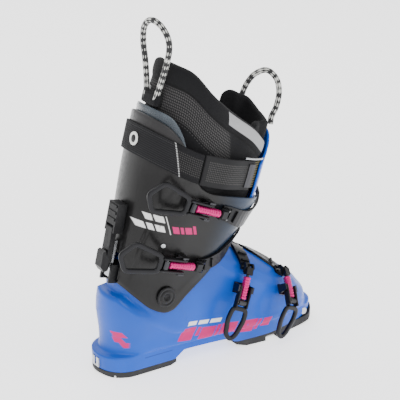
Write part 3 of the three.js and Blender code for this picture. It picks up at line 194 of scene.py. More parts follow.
# ---- mesh helpers ---------------------------------------------------------------------------
def make_object(name, points, faces, material, uvs=None, smooth=True):
    """Points are in millimetres. uvs is one pair for each point."""
    mesh = bpy.data.meshes.new(name)
    mesh.from_pydata([Vector(p) * MM for p in points], [], faces)
    if uvs:
        layer = mesh.uv_layers.new(name="UVMap")
        for loop in mesh.loops:
            layer.data[loop.index].uv = uvs[loop.vertex_index]
    work = bmesh.new()
    work.from_mesh(mesh)
    bmesh.ops.remove_doubles(work, verts=work.verts, dist=2e-6)
    bmesh.ops.recalc_face_normals(work, faces=work.faces)
    work.to_mesh(mesh)
    work.free()
    mesh.polygons.foreach_set("use_smooth", [smooth] * len(mesh.polygons))
    mesh.materials.append(material)
    made = bpy.data.objects.new(name, mesh)
    bpy.context.collection.objects.link(made)
    return made


def place(piece, body, slot, *nodes):
    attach(piece, body)
    if nodes:
        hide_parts(*nodes)
    return piece


def join(name, *parts):
    """Joins objects into one piece."""
    bpy.ops.object.select_all(action="DESELECT")
    for part in parts:
        part.select_set(True)
    bpy.context.view_layer.objects.active = parts[0]
    if len(parts) > 1:
        bpy.ops.object.join()
    parts[0].name = name
    return parts[0]


def catmull(points, count):
    """Points along a centripetal Catmull-Rom curve, evenly spaced in its parameter."""
    given = [Vector(p) for p in points]
    padded = [given[0] * 2 - given[1], *given, given[-1] * 2 - given[-2]]
    spans = len(padded) - 3
    out = []
    for k in range(count + 1):
        place_at = k / count * spans
        i = min(int(place_at), spans - 1)
        t = place_at - i
        a, b, c, d = padded[i:i + 4]
        gaps = [max(1e-6, (q - p).length ** 0.5) for p, q in ((a, b), (b, c), (c, d))]
        slope_b = ((b - a) / gaps[0] - (c - a) / (gaps[0] + gaps[1]) + (c - b) / gaps[1]) * gaps[1]
        slope_c = ((c - b) / gaps[1] - (d - b) / (gaps[1] + gaps[2]) + (d - c) / gaps[2]) * gaps[1]
        out.append(
            b * (2 * t**3 - 3 * t**2 + 1) + slope_b * (t**3 - 2 * t**2 + t)
            + c * (3 * t**2 - 2 * t**3) + slope_c * (t**3 - t**2)
        )
    return out


def tube(name, path, radius, material, sides=16):
    """A round tube along points, with its length in v of the uv map."""
    count = len(path)
    points, uvs, faces = [], [], []
    normal = None
    length = 0
    for k, p in enumerate(path):
        before = path[k - 1] if k else p
        after = path[k + 1] if k + 1 < count else p
        along = (after - before).normalized()
        if normal is None:
            normal = along.orthogonal()
        normal = (normal - along * normal.dot(along)).normalized()
        other = along.cross(normal)
        if k:
            length += (p - path[k - 1]).length
        for i in range(sides):
            turn = TAU * i / sides
            points.append(p + (normal * math.cos(turn) + other * math.sin(turn)) * radius)
            uvs.append((i / sides, length * MM))
    for k in range(count - 1):
        for i in range(sides):
            j = (i + 1) % sides
            nxt = k + 1
            faces.append((k * sides + i, k * sides + j, nxt * sides + j, nxt * sides + i))
    faces += [tuple(reversed(range(sides))), tuple(range((count - 1) * sides, count * sides))]
    return make_object(name, points, faces, material, uvs)


# ---- pull loops -----------------------------------------------------------------------------
def braid():
    s = Shader("braid")
    around = s.times(s.u, 4.0)
    along = s.times(s.v, 62.0)
    one = s.math("SINE", s.times(s.add(around, along), TAU))
    two = s.math("SINE", s.times(s.math("SUBTRACT", around, along), TAU))
    weave = s.times(one, two)
    strand = s.math("MAXIMUM", one, two)
    fleck = s.add(s.add(weave, -0.25), s.times(s.add(s.noise(95.0, 3.0), -0.5), 3.4))
    shade = s.mix(s.step(fleck, 0.0, 0.12), (0.008, 0.008, 0.009), (0.6, 0.6, 0.57))
    return s.finish(shade, 0.8, strand, 0.0004, 0.8, Sheen_Weight=0.2)


BRAID = braid()
CORD_D = 7
REAR_LOOP = [
    (41, 9, 321), (45, 13, 338), (48, 20, 363), (48, 24, 386), (47, 19, 404),
    (47.5, 6, 413.5), (50.5, -9, 410), (53, -20, 398), (53, -23, 386), (50, -21, 367),
    (46.5, -15, 345), (42, -10, 325),
]
TONGUE_LOOP = [
    (203.5, -9, 266), (206, -8, 275), (214, -6, 285), (221, -2, 303), (221.5, 6, 317),
    (213, 13, 326), (203, 22, 321), (197, 29, 310), (193.5, 33, 299), (190, 34, 288),
]


def pull_loop(name, route, count):
    path = catmull(route, count)
    piece = tube(name + "_braid", path, CORD_D / 2, BRAID)
    place(piece, "cuff_group", "cord", name)


pull_loop("rear_loop", REAR_LOOP, 60)
pull_loop("tongue_loop", TONGUE_LOOP, 50)


# ---- the boot's surfaces, in millimetres ----------------------------------------------------
def mix(a, b, t):
    return a + (b - a) * t


def smooth(t):
    t = min(1.0, max(0.0, t))
    return t * t * (3 - 2 * t)


def bell(distance, width):
    return math.exp(-((distance / width) ** 2))


def curve(points):
    """A smooth curve through a few points (x, y), without overshoot."""
    slopes = [(b[1] - a[1]) / (b[0] - a[0]) for a, b in zip(points, points[1:])]
    tangents = []
    for i in range(len(points)):
        before = slopes[i - 1] if i else slopes[0]
        after = slopes[i] if i < len(slopes) else before
        tangents.append(2 * before * after / (before + after) if before * after > 0 else 0)

    def at(x):
        if x <= points[0][0]:
            return points[0][1]
        if x >= points[-1][0]:
            return points[-1][1]
        i = next(k for k, p in enumerate(points) if p[0] >= x) - 1
        (x0, y0), (x1, y1) = points[i], points[i + 1]
        h = x1 - x0
        t = (x - x0) / h
        bend = (1 - t) * tangents[i] - t * tangents[i + 1]
        return mix(y0, y1, t * t * (3 - 2 * t)) + h * t * (1 - t) * bend
    return at


HEEL_BACK, TOE_TIP, LEDGE_TOP = -38, 268, 25
PIVOT_X, PIVOT_Z, LEAN = 28, 101, math.radians(13.5)
SHELL_WALL, CUFF_WALL, NECK_HALF = 4.5, 3.5, 45.5
SPINE_U, SHIN_U = -47.5, 131

shell_front = curve([
    (7, 262), (18, 268), (25, 268), (29, 261), (38, 260.5), (47, 255), (85, 211), (105, 178),
    (120, 149), (130, 138), (140, 131), (152, 126),
])
shell_front_slope = curve([(7, 1), (40, 1), (56, 1.6), (112, 1.7), (140, 1.25)])
shell_rear = curve([(7, -37), (25, -38), (29, -29), (50, -28), (70, -29), (93, -26), (104, -23)])
NECK_R = -SPINE_U - CUFF_WALL - 2
front_round_at = curve([(7, 41.5), (25, 41.5), (40, 48), (90, 62), (150, 58)])
LUG_HALF = {
    -1: curve([(-3, 35), (45, 36), (100, 40), (140, 45), (175, 47), (205, 42), (226, 36), (268, 35)]),
    1: curve([(-3, 35), (45, 35), (90, 35), (140, 42), (185, 46), (210, 42), (226, 36), (268, 35)]),
}
BODY_HALF = {
    -1: curve([(-33, 31), (0, 35), (20, 38), (60, 42.5), (100, 45.5), (140, 48.5), (175, 50),
               (205, 49), (240, 45), (262, 41)]),
    1: curve([(-33, 31), (0, 34), (20, 36.5), (60, 38.5), (100, 41), (140, 45.5), (180, 49),
              (210, 48), (240, 43), (262, 38)]),
}
shell_bottom = curve([(-38, 7.3), (50, 7.3), (64, 17), (118, 17), (136, 10.5), (225, 10.5), (268, 19.5)])
ledge_line = curve([(-30, 99), (-8, 82), (10, 66), (43, 44), (80, 41), (200, 41), (268, 42)])


def end_round(distance, radius, power):
    if distance >= radius:
        return 1.0
    return max(0.0, 1 - ((radius - distance) / radius) ** power) ** (1 / power)


def outline(phi, rear, front, rear_round, rear_power, front_round, front_power, half, centre):
    """A foot-shaped outline: phi is 0 in front, a quarter turn on the inner side."""
    along = mix(rear, front, (1 + math.cos(phi)) / 2)
    side = 1 if math.sin(phi) >= 0 else -1
    reach = end_round(along - rear, rear_round, rear_power)
    reach *= end_round(front - along, front_round, front_power)
    return along, centre(along) + side * half(side, along) * reach


def shell_at(phi, z, offset, neck):
    upper = smooth((z - LEDGE_TOP) / 4)
    ankle = smooth((z - 30) / 55)
    neck_rear = PIVOT_X - math.sqrt(max(1, NECK_R ** 2 - max(0, z - PIVOT_Z) ** 2))

    def half(side, x):
        body = mix(BODY_HALF[side](x), NECK_HALF - 0.5, ankle * (1 - smooth((x - 90) / 60)))
        return mix(mix(LUG_HALF[side](x), body, upper), NECK_HALF, neck) + offset

    x, y = outline(
        phi, mix(shell_rear(z), neck_rear, neck) - offset, shell_front(z) + offset * shell_front_slope(z),
        mix(mix(35, 38, upper), 44, neck) + offset, 2.1, front_round_at(z) + offset, 2,
        half, lambda x: 5 * smooth((x - 130) / 110) * upper,
    )
    return Vector((x, y, z))


cuff_front = curve([(-25, 75), (0, 80), (30, 88), (60, 95), (82, 105), (125, 126), (165, 131),
                    (205, 135), (235, 131), (275, 119)])
cuff_rear = curve([(-25, SPINE_U + 1), (60, SPINE_U), (125, SPINE_U), (205, SPINE_U + 2), (275, SPINE_U + 5)])
cuff_half = curve([(15, 51), (45, 53.75), (100, 59.25), (155, 62), (215, 62), (275, 59.8)])


def from_leg(u, y, w):
    return Vector((
        PIVOT_X + u * math.cos(LEAN) + w * math.sin(LEAN), y,
        PIVOT_Z - u * math.sin(LEAN) + w * math.cos(LEAN),
    ))


def cuff_at(phi, w, offset):
    shape = smooth((w - 60) / 100)
    u, y = outline(
        phi, cuff_rear(w) - offset, cuff_front(w) + offset, 56 + offset, 2.15,
        mix(60, 74, shape) + offset, mix(2.4, 2.1, shape),
        lambda side, x: cuff_half(w) + offset, lambda x: 0,
    )
    return from_leg(u, y, w)


def backness(phi):
    return (1 + math.cos(phi)) / 2


# ---- walls that follow a surface ------------------------------------------------------------
def edge_profile(low, high, depth, rim, rows):
    """Half of a wall's section, from the middle of its lower edge up its outer side to the middle
    of its upper edge: pairs of level and depth below the outer side."""
    out = []
    for turn in (90, 60, 30):
        a = math.radians(turn)
        out.append((low + rim - rim * math.sin(a), rim - rim * math.cos(a)))
    for i in range(rows + 1):
        out.append((mix(low + rim, high - rim, i / rows), 0.0))
    for turn in (30, 60, 90):
        a = math.radians(turn)
        out.append((high - rim + rim * math.sin(a), rim - rim * math.cos(a)))
    return out + [(level, depth - d) for level, d in reversed(out)]


def wall(name, surface, columns, low, high, lift, depth, rows, material, rim, relief=None):
    """A wall with rounded edges. columns is the list of phi, and relief moves the outer side out."""
    rim = min(rim, depth / 2 - 0.01)
    ends = [1.0, 0.5, 0.15]
    list_of = [(columns[0], e) for e in ends] + [(phi, 0) for phi in columns[1:-1]]
    list_of += [(columns[-1], e) for e in reversed(ends)]
    points, uvs, run = [], [], 0.0
    reach = None
    for phi, end in list_of:
        shrink = rim * end * 0.97
        at = phi
        if end:
            sign = 1 if phi == columns[0] else -1
            span = (surface(phi + sign * 0.02, mix(low(phi), high(phi), 0.5), 0)
                    - surface(phi, mix(low(phi), high(phi), 0.5), 0)).length
            at = phi + sign * 0.02 * rim * (1 - end) / max(span, 1e-6)
        lo, hi = low(at) + shrink, high(at) - shrink
        inner = depth - 2 * shrink
        profile = edge_profile(lo, hi, inner, max(rim - shrink, 0.02), rows)
        here = surface(at, (lo + hi) / 2, 0)
        if reach is not None:
            run += (here - reach).length
        reach = here
        half = len(profile) // 2
        for index, (level, d) in enumerate(profile):
            out = lift(at, level) - shrink - d
            if relief and index < half:
                out += relief(at, level, lo, hi) * (1 - end)
            points.append(surface(at, level, out))
            uvs.append((run * MM, (hi - level) * MM + (0 if index < half else 1.0)))
    size = len(profile)
    count = len(list_of)
    faces = []
    for k in range(count - 1):
        nxt = k + 1
        for i in range(size):
            j = (i + 1) % size
            faces.append((k * size + i, nxt * size + i, nxt * size + j, k * size + j))
    for base in (0, (count - 1) * size):
        for i in range(size // 2 - 1):
            faces.append((base + i, base + i + 1, base + size - 2 - i, base + size - 1 - i))
    return make_object(name, points, faces, material, uvs)


def spread(start, stop, count):
    return [mix(start, stop, k / count) for k in range(count + 1)]


# ---- colours and paint ----------------------------------------------------------------------
AZURE = (0.0015, 0.078, 0.5)
SLOT_SHADE_BLUE = (0.002, 0.035, 0.22)
CHARCOAL = (0.0075, 0.0072, 0.0075)
MAGENTA = (0.5, 0.002, 0.13)
PAINT_WHITE = (0.8, 0.8, 0.8)


def bars(s, value_x, value_z, x_low, x_high, z_low, z_high, soft=0.0005):
    return s.times(s.between(value_x, x_low, x_high, soft), s.between(value_z, z_low, z_high, soft))


def outer_side(s):
    return s.step(s.y, -0.012, -0.02)


def shell_paint(s, shade):
    """A row of slanted magenta strokes with a thin pale row above, a mark behind the heel, and a dark line of
    painted shade where a slot runs.
    """
    lean = s.slanted(1.0, -0.55)
    level = s.add(s.z, s.times(s.add(s.x, -0.08), 0.12))
    worn = s.step(s.noise(90.0, 6.0), 0.22, 0.36)
    strokes = [
        (0.031, 0.050, 0.029, 0.046, MAGENTA), (0.053, 0.058, 0.034, 0.045, MAGENTA),
        (0.0595, 0.0805, 0.029, 0.044, MAGENTA), (0.082, 0.087, 0.031, 0.045, MAGENTA),
        (0.0885, 0.1115, 0.031, 0.046, MAGENTA), (0.113, 0.118, 0.031, 0.042, MAGENTA),
        (0.1195, 0.1425, 0.029, 0.046, MAGENTA), (0.144, 0.149, 0.031, 0.045, MAGENTA),
        (0.152, 0.166, 0.034, 0.045, MAGENTA), (0.034, 0.047, 0.0485, 0.0535, PAINT_WHITE),
        (0.050, 0.064, 0.0485, 0.0535, PAINT_WHITE), (0.067, 0.083, 0.0485, 0.0535, PAINT_WHITE),
    ]
    for x_low, x_high, z_low, z_high, colour in strokes:
        mask = s.times(bars(s, lean, level, x_low, x_high, z_low, z_high), outer_side(s))
        shade = s.mix(s.times(mask, worn), shade, colour)
    round_heel = s.add(s.y, s.times(s.z, -0.5))
    behind = s.step(s.x, -0.008, -0.012)
    for y_low, y_high, z_low, z_high in ((-0.056, -0.044, 0.036, 0.043), (-0.050, -0.040, 0.043, 0.050),
                                         (-0.056, -0.042, 0.050, 0.057)):
        mask = s.times(bars(s, round_heel, s.z, y_low, y_high, z_low, z_high), behind)
        shade = s.mix(s.times(mask, worn), shade, MAGENTA)
    # Painted shade: the slot is not modelled, only drawn as a dark blue line where the shade inside it would
    # lie.
    slot = s.times(bars(s, s.x, s.z, 0.008, 0.046, 0.0195, 0.0207, 0.0003), outer_side(s))
    return s.mix(s.times(slot, 0.8), shade, SLOT_SHADE_BLUE)


def cuff_paint(s, shade):
    """Smoky towards the front, lightened towards the top as a painted highlight, with a pale stroke and
    magenta slashes on the outer side.
    """
    cos, sin = math.cos(LEAN), math.sin(LEAN)
    along = s.slanted(cos, -sin, (-PIVOT_X * cos + PIVOT_Z * sin) * MM)
    up = s.slanted(sin, cos, (-PIVOT_X * sin - PIVOT_Z * cos) * MM)
    shade = s.mix(s.times(s.step(along, 0.03, 0.1), 0.75), shade, (0.012, 0.035, 0.08))
    # Painted highlight: the upper part of the cuff is lightened towards pale grey.
    shade = s.mix(s.times(s.step(up, 0.12, 0.19), 0.35), shade, (0.06, 0.058, 0.06))
    slash = s.add(along, s.times(up, 0.45))
    worn = s.step(s.noise(90.0, 6.0), 0.25, 0.4)
    strokes = [
        (0.002, 0.008, 0.089, 0.096, PAINT_WHITE), (0.010, 0.0188, 0.089, 0.096, PAINT_WHITE),
        (-0.008, -0.001, 0.078, 0.085, PAINT_WHITE), (0.001, 0.006, 0.078, 0.085, PAINT_WHITE),
        (0.008, 0.0165, 0.078, 0.085, PAINT_WHITE), (0.0212, 0.022, 0.076, 0.097, PAINT_WHITE),
        (0.0255, 0.033, 0.078, 0.086, MAGENTA), (0.035, 0.039, 0.078, 0.086, MAGENTA),
        (0.041, 0.050, 0.078, 0.086, MAGENTA), (0.052, 0.056, 0.078, 0.088, MAGENTA),
    ]
    for low, high, w_low, w_high, colour in strokes:
        mask = s.times(bars(s, slash, up, low, high, w_low, w_high), outer_side(s))
        shade = s.mix(s.times(mask, worn), shade, colour)
    return shade


SHELL_BLUE = moulded("shell_blue", AZURE, 0.3, 0.42, shell_paint, 0.8, 0.2)
FLAP_BLUE = moulded("flap_blue", AZURE, 0.3, 0.42, None, 0.8, 0.2)
CUFF_SMOKE = moulded("cuff_smoke", CHARCOAL, 0.28, 0.42, cuff_paint, 0.75, 0.25)
BLACK_PLASTIC = moulded("black_plastic", (0.007, 0.007, 0.008), 0.35, 0.5, None, 0.7, 0.1)
WHITE_PLASTIC = moulded("white_plastic", (0.75, 0.75, 0.73), 0.35, 0.5, None, 0.9, 0.1)
SOLE_RUBBER = rubber("sole_rubber", (0.009, 0.009, 0.01))
STEEL = metal("steel", (0.5, 0.51, 0.53))
DARK_STEEL = metal("dark_steel", (0.05, 0.05, 0.055), 0.25, 0.45)
BUCKLE_BLACK = metal("buckle_black", (0.010, 0.010, 0.012), 0.3, 0.45, 600.0, 0.6)
BARREL_MAGENTA = metal("barrel_magenta", (0.6, 0.008, 0.17), 0.25, 0.42, 700.0, 0.55)


def smoky():
    s = Shader("spoiler_smoke")
    grain = s.noise(900.0, 3.0)
    shade = s.mix(s.step(s.noise(30.0, 3.0), 0.35, 0.7), (0.05, 0.066, 0.085), (0.1, 0.125, 0.15))
    return s.finish(shade, s.add(s.times(grain, 0.1), 0.22), grain, 0.00005, 0.4,
                    Transmission_Weight=0.35, Coat_Weight=0.3)


# ---- lower shell ----------------------------------------------------------------------------
def rim_height(phi):
    x = mix(6, 127, (1 + math.cos(phi)) / 2) - PIVOT_X
    reach = 61 - 1.5 - 1
    round_part = PIVOT_Z + math.sqrt(max(0, reach ** 2 - x ** 2))
    return max(min(PIVOT_Z + 37, round_part), PIVOT_Z + 0.5 * x)


def shell_levels(phi, bottom):
    """Heights from the bottom to the rim at phi, with the neck factor of each."""
    x = mix(HEEL_BACK + 2, TOE_TIP - 2, (1 + math.cos(phi)) / 2)
    ledge, rim, low = ledge_line(x), rim_height(phi), bottom(x)
    rear = 1 - smooth((x - 45) / 25)
    if low < LEDGE_TOP:
        lower = [mix(low, LEDGE_TOP, t) for t in (0, 0.06, 0.3, 0.6, 0.85, 1)]
        lower += [LEDGE_TOP + d for d in (0.6, 1.3, 2, 2.8, 4)]
    else:
        lower = [low + d for d in (0, 0.5, 1, 1.5, 2, 2.5, 3, 3.5, 4, 4.5, 5)]
    levels = [(z, 0) for z in lower]
    levels += [(mix(lower[-1], ledge, t), 0) for t in (0.12, 0.28, 0.45, 0.62, 0.8, 0.93, 1)]
    levels += [(ledge + 2.5 * t, rear * t) for t in (0.33, 0.66, 1)]
    levels += [(mix(ledge + 2.5, rim, k / 16), rear) for k in range(1, 17)]
    return levels


def shell_relief(z, x, y):
    """The raised overlap over the instep, a rib along the sole and a crease above it."""
    out = 0.0
    if 41 < z and x > 95:
        edge = curve([(95, 118), (130, 112), (165, 92), (200, 70), (240, 52)])(x)
        overlap = 1 if y < 4 else 1 - smooth((y - 4) / 3)
        out += 0.9 * smooth((z - edge) / 1.6) * smooth((x - 95) / 10) * overlap
    out += 0.7 * bell(z - 33, 1.3) * smooth(x / 20) * (1 - smooth((x - 235) / 18))
    crease = z - (50 + 0.12 * max(0, 120 - x))
    out -= 0.6 * bell(crease, 0.9) * smooth((x - 60) / 15) * (1 - smooth((x - 205) / 20))
    return out


def foot_shape(name, columns, material):
    """A shape from columns of points set around the foot, closed across at both of their ends."""
    count, size = len(columns), len(columns[0])
    faces = []
    for k in range(count):
        nxt = (k + 1) % count
        for i in range(size - 1):
            faces.append((k * size + i, nxt * size + i, nxt * size + i + 1, k * size + i + 1))
    for i in (0, size - 1):
        for k in range(count // 2):
            ring = (k, (count - k) % count, count - k - 1, k + 1)
            faces.append(tuple(dict.fromkeys(at * size + i for at in ring)))
    return make_object(name, [p for column in columns for p in column], faces, material)


def build_shell():
    count, rim, floor, columns = 176, 1.2, 20.0, []
    for k in range(count):
        phi = TAU * k / count
        levels = shell_levels(phi, shell_bottom)
        outer = levels[:-1]
        top, neck = levels[-1]
        column = []
        for z, factor in outer:
            z = min(z, top - rim)
            base = shell_at(phi, z, 0, factor)
            column.append(shell_at(phi, z, shell_relief(z, base.x, base.y), factor))
        for depth, drop in ((0, rim), (0.35, 0.35), (rim, 0), (SHELL_WALL - rim, 0),
                            (SHELL_WALL - 0.35, 0.35), (SHELL_WALL, rim)):
            column.append(shell_at(phi, top - drop, -depth, neck))
        for t in (0.9, 0.75, 0.6, 0.45, 0.3, 0.15, 0):
            index = round(t * (len(levels) - 2))
            z, factor = levels[index]
            column.append(shell_at(phi, max(z, floor), -SHELL_WALL, factor))
        columns.append(column)
    return foot_shape("shell", columns, SHELL_BLUE)


place(build_shell(), "shell", "blue_plastic", "lower_shell")


# ---- cuff, flap and spoiler -----------------------------------------------------------------
cuff_low = curve([(0, 4), (0.12, -7), (0.26, -17), (0.4, -20.5), (0.48, -18), (0.6, 1), (0.745, 26),
                  (0.835, 52), (0.9, 68), (0.97, 80), (1, 82)])
cuff_high = curve([(0, 203), (0.05, 199), (0.12, 188), (0.22, 163), (0.34, 134), (0.46, 127), (0.7, 124),
                   (0.85, 121), (1, 117)])
NOTCH_HALF, NOTCH_TOP = 13, 38


def cuff_relief(phi, w, low, high):
    """A groove that frames the spine panel, a step below the strap and a lip along the lower edge."""
    back = abs(phi - math.pi)
    line = curve([(20, 0.5), (90, 0.62), (130, 0.8), (150, 1.15)])(w)
    out = -0.8 * bell((back - line) * 48, 1.1) * smooth((w - 12) / 10) * (1 - smooth((w - 146) / 10))
    out += 0.7 * bell(w - low - 3.2, 1.5)
    side = 1 if phi > math.pi else 0.6
    out += 0.8 * smooth((low + 26 - w) / 1.2) * side * bell(backness(phi) - 0.42, 0.16)
    out -= 0.5 * bell(high - w - 4, 0.8)
    return out


def build_cuff():
    first, last = 0.5, TAU - 0.25
    # The notch for the bracket has upright sides, so its two edges get two columns each.
    edge = next(k * 0.001 for k in range(1, 900) if abs(cuff_at(math.pi + k * 0.001, 20, 0).y) > NOTCH_HALF)
    columns = spread(first, math.pi - edge - 0.002, 84) + spread(math.pi - edge, math.pi + edge, 16)
    columns += spread(math.pi + edge + 0.002, last, 92)

    def low(phi):
        return NOTCH_TOP if abs(phi - math.pi) <= edge + 0.001 else cuff_low(backness(phi))

    return wall("cuff_shell", cuff_at, columns, low, lambda phi: cuff_high(backness(phi)), lambda phi, w: 0,
                CUFF_WALL, 40, CUFF_SMOKE, 1.1, cuff_relief)


place(build_cuff(), "cuff_group", "cuff_plastic", "cuff")

FLAP_DEPTH = CUFF_WALL + 0.6
flap_high = curve([(-0.75, 160), (-0.45, 181), (-0.12, 196), (0.3, 199), (0.8, 186), (1.3, 160)])
flap_low = curve([(-0.75, 86), (0, 84), (1.3, 60)])


def flap_relief(phi, w, low, high):
    """A groove along the upper edge and one up the overlap."""
    return -0.5 * bell(high - w - 7, 1.2) - 0.5 * bell((phi + 0.5) * 60, 1.2)


flap = wall("shin_flap", cuff_at, spread(-0.75, 1.3, 70), flap_low, flap_high, lambda phi, w: -FLAP_DEPTH,
            3, 36, FLAP_BLUE, 1.1, flap_relief)
place(flap, "cuff_group", "blue_plastic", "cuff_flap")

spoiler_high = curve([(0, 212), (0.05, 209), (0.13, 191), (0.17, 176)])


def spoiler_relief(phi, w, low, high):
    """Two ribs along the upper edge, and a slight fall above the strap."""
    return 0.5 * bell(high - w - 4, 1.3) + 0.45 * bell(high - w - 10, 1.3) - 0.4 * smooth((w - 184) / 20)


spoiler = wall("calf_spoiler", cuff_at, spread(math.pi - 0.86, math.pi + 0.86, 70), lambda phi: 168,
               lambda phi: spoiler_high(backness(phi)), lambda phi, w: -FLAP_DEPTH, 2.2, 14, smoky(), 0.8,
               spoiler_relief)
place(spoiler, "cuff_group", "spoiler_plastic", "spoiler")


# ---- liner ----------------------------------------------------------------------------------
def liner_cloth():
    """Black smooth cloth, with a soft collar and below it a band of pale dotted mesh."""
    s = Shader("liner_cloth")
    weave = s.math("MAXIMUM", s.wave(s.u, 1100.0), s.wave(s.v, 1100.0))
    down = s.v
    dots = s.step(s.cells("DISTANCE_TO_EDGE", 330.0, 0.15), 0.12, 0.2)
    base = s.mix(s.times(weave, 0.5), (0.005, 0.005, 0.006), (0.012, 0.012, 0.013))
    mesh_band = s.times(s.between(down, 0.0245, 0.058, 0.0006), s.step(s.x, 0.118, 0.112))
    outside = s.step(down, 0.9, 0.8)
    grey = s.mix(dots, (0.010, 0.010, 0.011), (0.062, 0.06, 0.06))
    shade = s.mix(s.times(mesh_band, outside), base, grey)
    piping = s.times(s.between(down, 0.0215, 0.0238, 0.0003), outside)
    shade = s.mix(s.times(piping, 0.7), shade, (0.004, 0.004, 0.004))
    patch = s.times(s.between(down, 0.003, 0.0165, 0.0005), s.step(s.x, 0.112, 0.1125))
    patch = s.times(patch, s.step(s.y, -0.02, -0.025))
    shade = s.mix(patch, shade, s.mix(s.times(weave, 0.6), (0.3, 0.3, 0.31), (0.5, 0.5, 0.51)))
    stitch = s.times(s.between(down, 0.0602, 0.0612, 0.0002), s.step(s.wave(s.u, 240.0), 0.3, 0.5))
    shade = s.mix(s.times(stitch, outside), shade, (0.05, 0.05, 0.05))
    shade = s.mix(s.times(s.noise(25.0, 4.0), 0.35), shade, (0.008, 0.008, 0.009))
    height = s.mix(mesh_band, s.times(weave, 0.35), dots)
    return s.finish(shade, 0.88, height, 0.0004, 0.7,
                    Sheen_Weight=0.04, Sheen_Roughness=0.5, Specular_IOR_Level=0.15)


def plain_cloth(name, dark, light, across=900.0, along=900.0):
    """Woven cloth laid out by its uv map."""
    s = Shader(name)
    weave = s.math("MAXIMUM", s.wave(s.u, across), s.wave(s.v, along))
    shade = s.mix(s.times(weave, 0.75), dark, light)
    shade = s.mix(s.times(s.noise(30.0, 4.0), 0.4), shade, dark)
    return s.finish(shade, 0.88, weave, 0.0003, 0.7,
                    Sheen_Weight=0.04, Sheen_Roughness=0.5, Specular_IOR_Level=0.15)


LINER_CLOTH = liner_cloth()
TONGUE_CLOTH = plain_cloth("tongue_cloth", (0.004, 0.004, 0.005), (0.012, 0.012, 0.013))
collar_outer = curve([(0, 265), (0.08, 262), (0.29, 240), (0.44, 226), (0.7, 207), (0.93, 188), (1, 186)])
collar_inner = curve([(0, 265), (0.08, 263), (0.3, 246), (0.5, 232), (1, 200)])
FLEX_FORWARD = 4
FRONT_CLEAR = math.radians(27 + FLEX_FORWARD + 2) + LEAN


def liner_low(phi, depth):
    u = mix(SPINE_U, SHIN_U - 30, backness(phi)) - depth * math.cos(phi)
    round_part = math.sqrt(max(0, 62.5 ** 2 - u * u))
    return max(round_part, u * math.tan(FRONT_CLEAR)) + 1


def liner_depth(phi, w):
    front = smooth((math.cos(phi) + 0.25) / 0.45)
    rear = smooth((-math.cos(phi) - 0.2) / 0.6)
    return CUFF_WALL + 1 + 6.4 * front + (3 + 6 * rear) * smooth((w - 140) / 35) * (1 - front)


def liner_relief(phi, w, low, high):
    """Puffs between the seams: the collar, the mesh band and the body."""
    down = high - w
    puff = 1.3 * math.sin(math.pi * min(1, max(0, down) / 22)) if down < 22 else 0
    if 24 < down < 58:
        puff = 0.5 * math.sin(math.pi * (down - 24) / 34)
    return puff - 0.9 * bell(down - 23, 1.3) - 0.7 * bell(down - 60, 1.1) - 0.5 * bell((phi - 4.2) * 60, 1.5)


liner = wall("liner_collar", cuff_at, spread(0.62, TAU - 0.6, 150), lambda phi: liner_low(phi, 8),
             lambda phi: (collar_outer if phi > math.pi else collar_inner)(backness(phi)),
             lambda phi, w: -liner_depth(phi, w), 10, 70, LINER_CLOTH, 4.4, liner_relief)
place(liner, "cuff_group", "liner_fabric", "leg_liner")

tongue_edge = curve([(-0.95, 205), (-0.4, 208), (0, 214), (0.45, 229), (0.95, 236)])


def tongue_high(phi):
    corner = max(0.0, (abs(phi) - 0.6) / 0.351)
    return tongue_edge(phi) - 20 * (1 - math.sqrt(max(0, 1 - corner * corner)))


def tongue_lift(phi, w):
    under = smooth((abs(phi) - 0.34) / 0.22)
    return -(liner_depth(0, 120) + 0.8 + under * 10.2)


def tongue_relief(phi, w, low, high):
    """A puffed upper edge above one seam."""
    return 0.7 * math.sin(math.pi * min(1, (high - w) / 26)) - 0.8 * bell(high - w - 27, 1.3)


tongue = wall("liner_tongue", cuff_at, spread(-0.95, 0.95, 60), lambda phi: liner_low(0, 20), tongue_high,
              tongue_lift, 8, 50, TONGUE_CLOTH, 3.2, tongue_relief)
place(tongue, "cuff_group", "liner_fabric", "tongue")


def foot_part():
    """The liner's foot part, seen only down the leg: the same surface as the shell, further in."""
    count, columns = 96, []
    for k in range(count):
        phi = TAU * k / count
        levels = shell_levels(phi, lambda x: 29.6)
        top, neck = levels[-1]
        top -= 1.5
        column = [shell_at(phi, min(z, top - 1.5), -6.9, factor) for z, factor in levels[::2]]
        rim = ((0.5, -7.4), (0, -9), (0, -10.5), (1, -12.9))
        column += [shell_at(phi, top - drop, offset, neck) for drop, offset in rim]
        for z, factor in reversed(levels[::3]):
            column.append(shell_at(phi, max(33.6, min(z, top - 2)), -12.9, factor))
        columns.append(column)
    return foot_shape("liner_foot", columns, TONGUE_CLOTH)


place(foot_part(), "shell", "liner_fabric", "foot_liner")

# A sewn pad that holds the two ends of the rear loop.
anchor = wall("loop_anchor", cuff_at, spread(math.pi - 0.19, math.pi + 0.19, 16), lambda phi: 214,
              lambda phi: 229, lambda phi, w: -2.4, 9.6, 8, TONGUE_CLOTH, 2.6)
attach(anchor, "cuff_group")

tab = wall("liner_tab", cuff_at, spread(math.pi - 0.4, math.pi - 0.2, 8), lambda phi: 212, lambda phi: 232,
           lambda phi, w: -liner_depth(math.pi, 220) + 2.2, 1.6, 10,
           plain_cloth("tab_cloth", (0.25, 0.25, 0.26), (0.5, 0.5, 0.51), 700, 700), 0.6)
place(tab, "cuff_group", "pale_fabric", "rear_tab")

# ---- power strap ----------------------------------------------------------------------------
strap_mid = curve([(0, 173), (0.1, 167), (0.3, 157), (0.6, 151), (1, 146)])
OVERLAY_FROM, OVERLAY_TO, ELASTIC_TO = TAU - 1.98, TAU - 0.98, TAU - 0.66
STRAP_THICK, STRAP_CLEAR = 2.4, 0.8


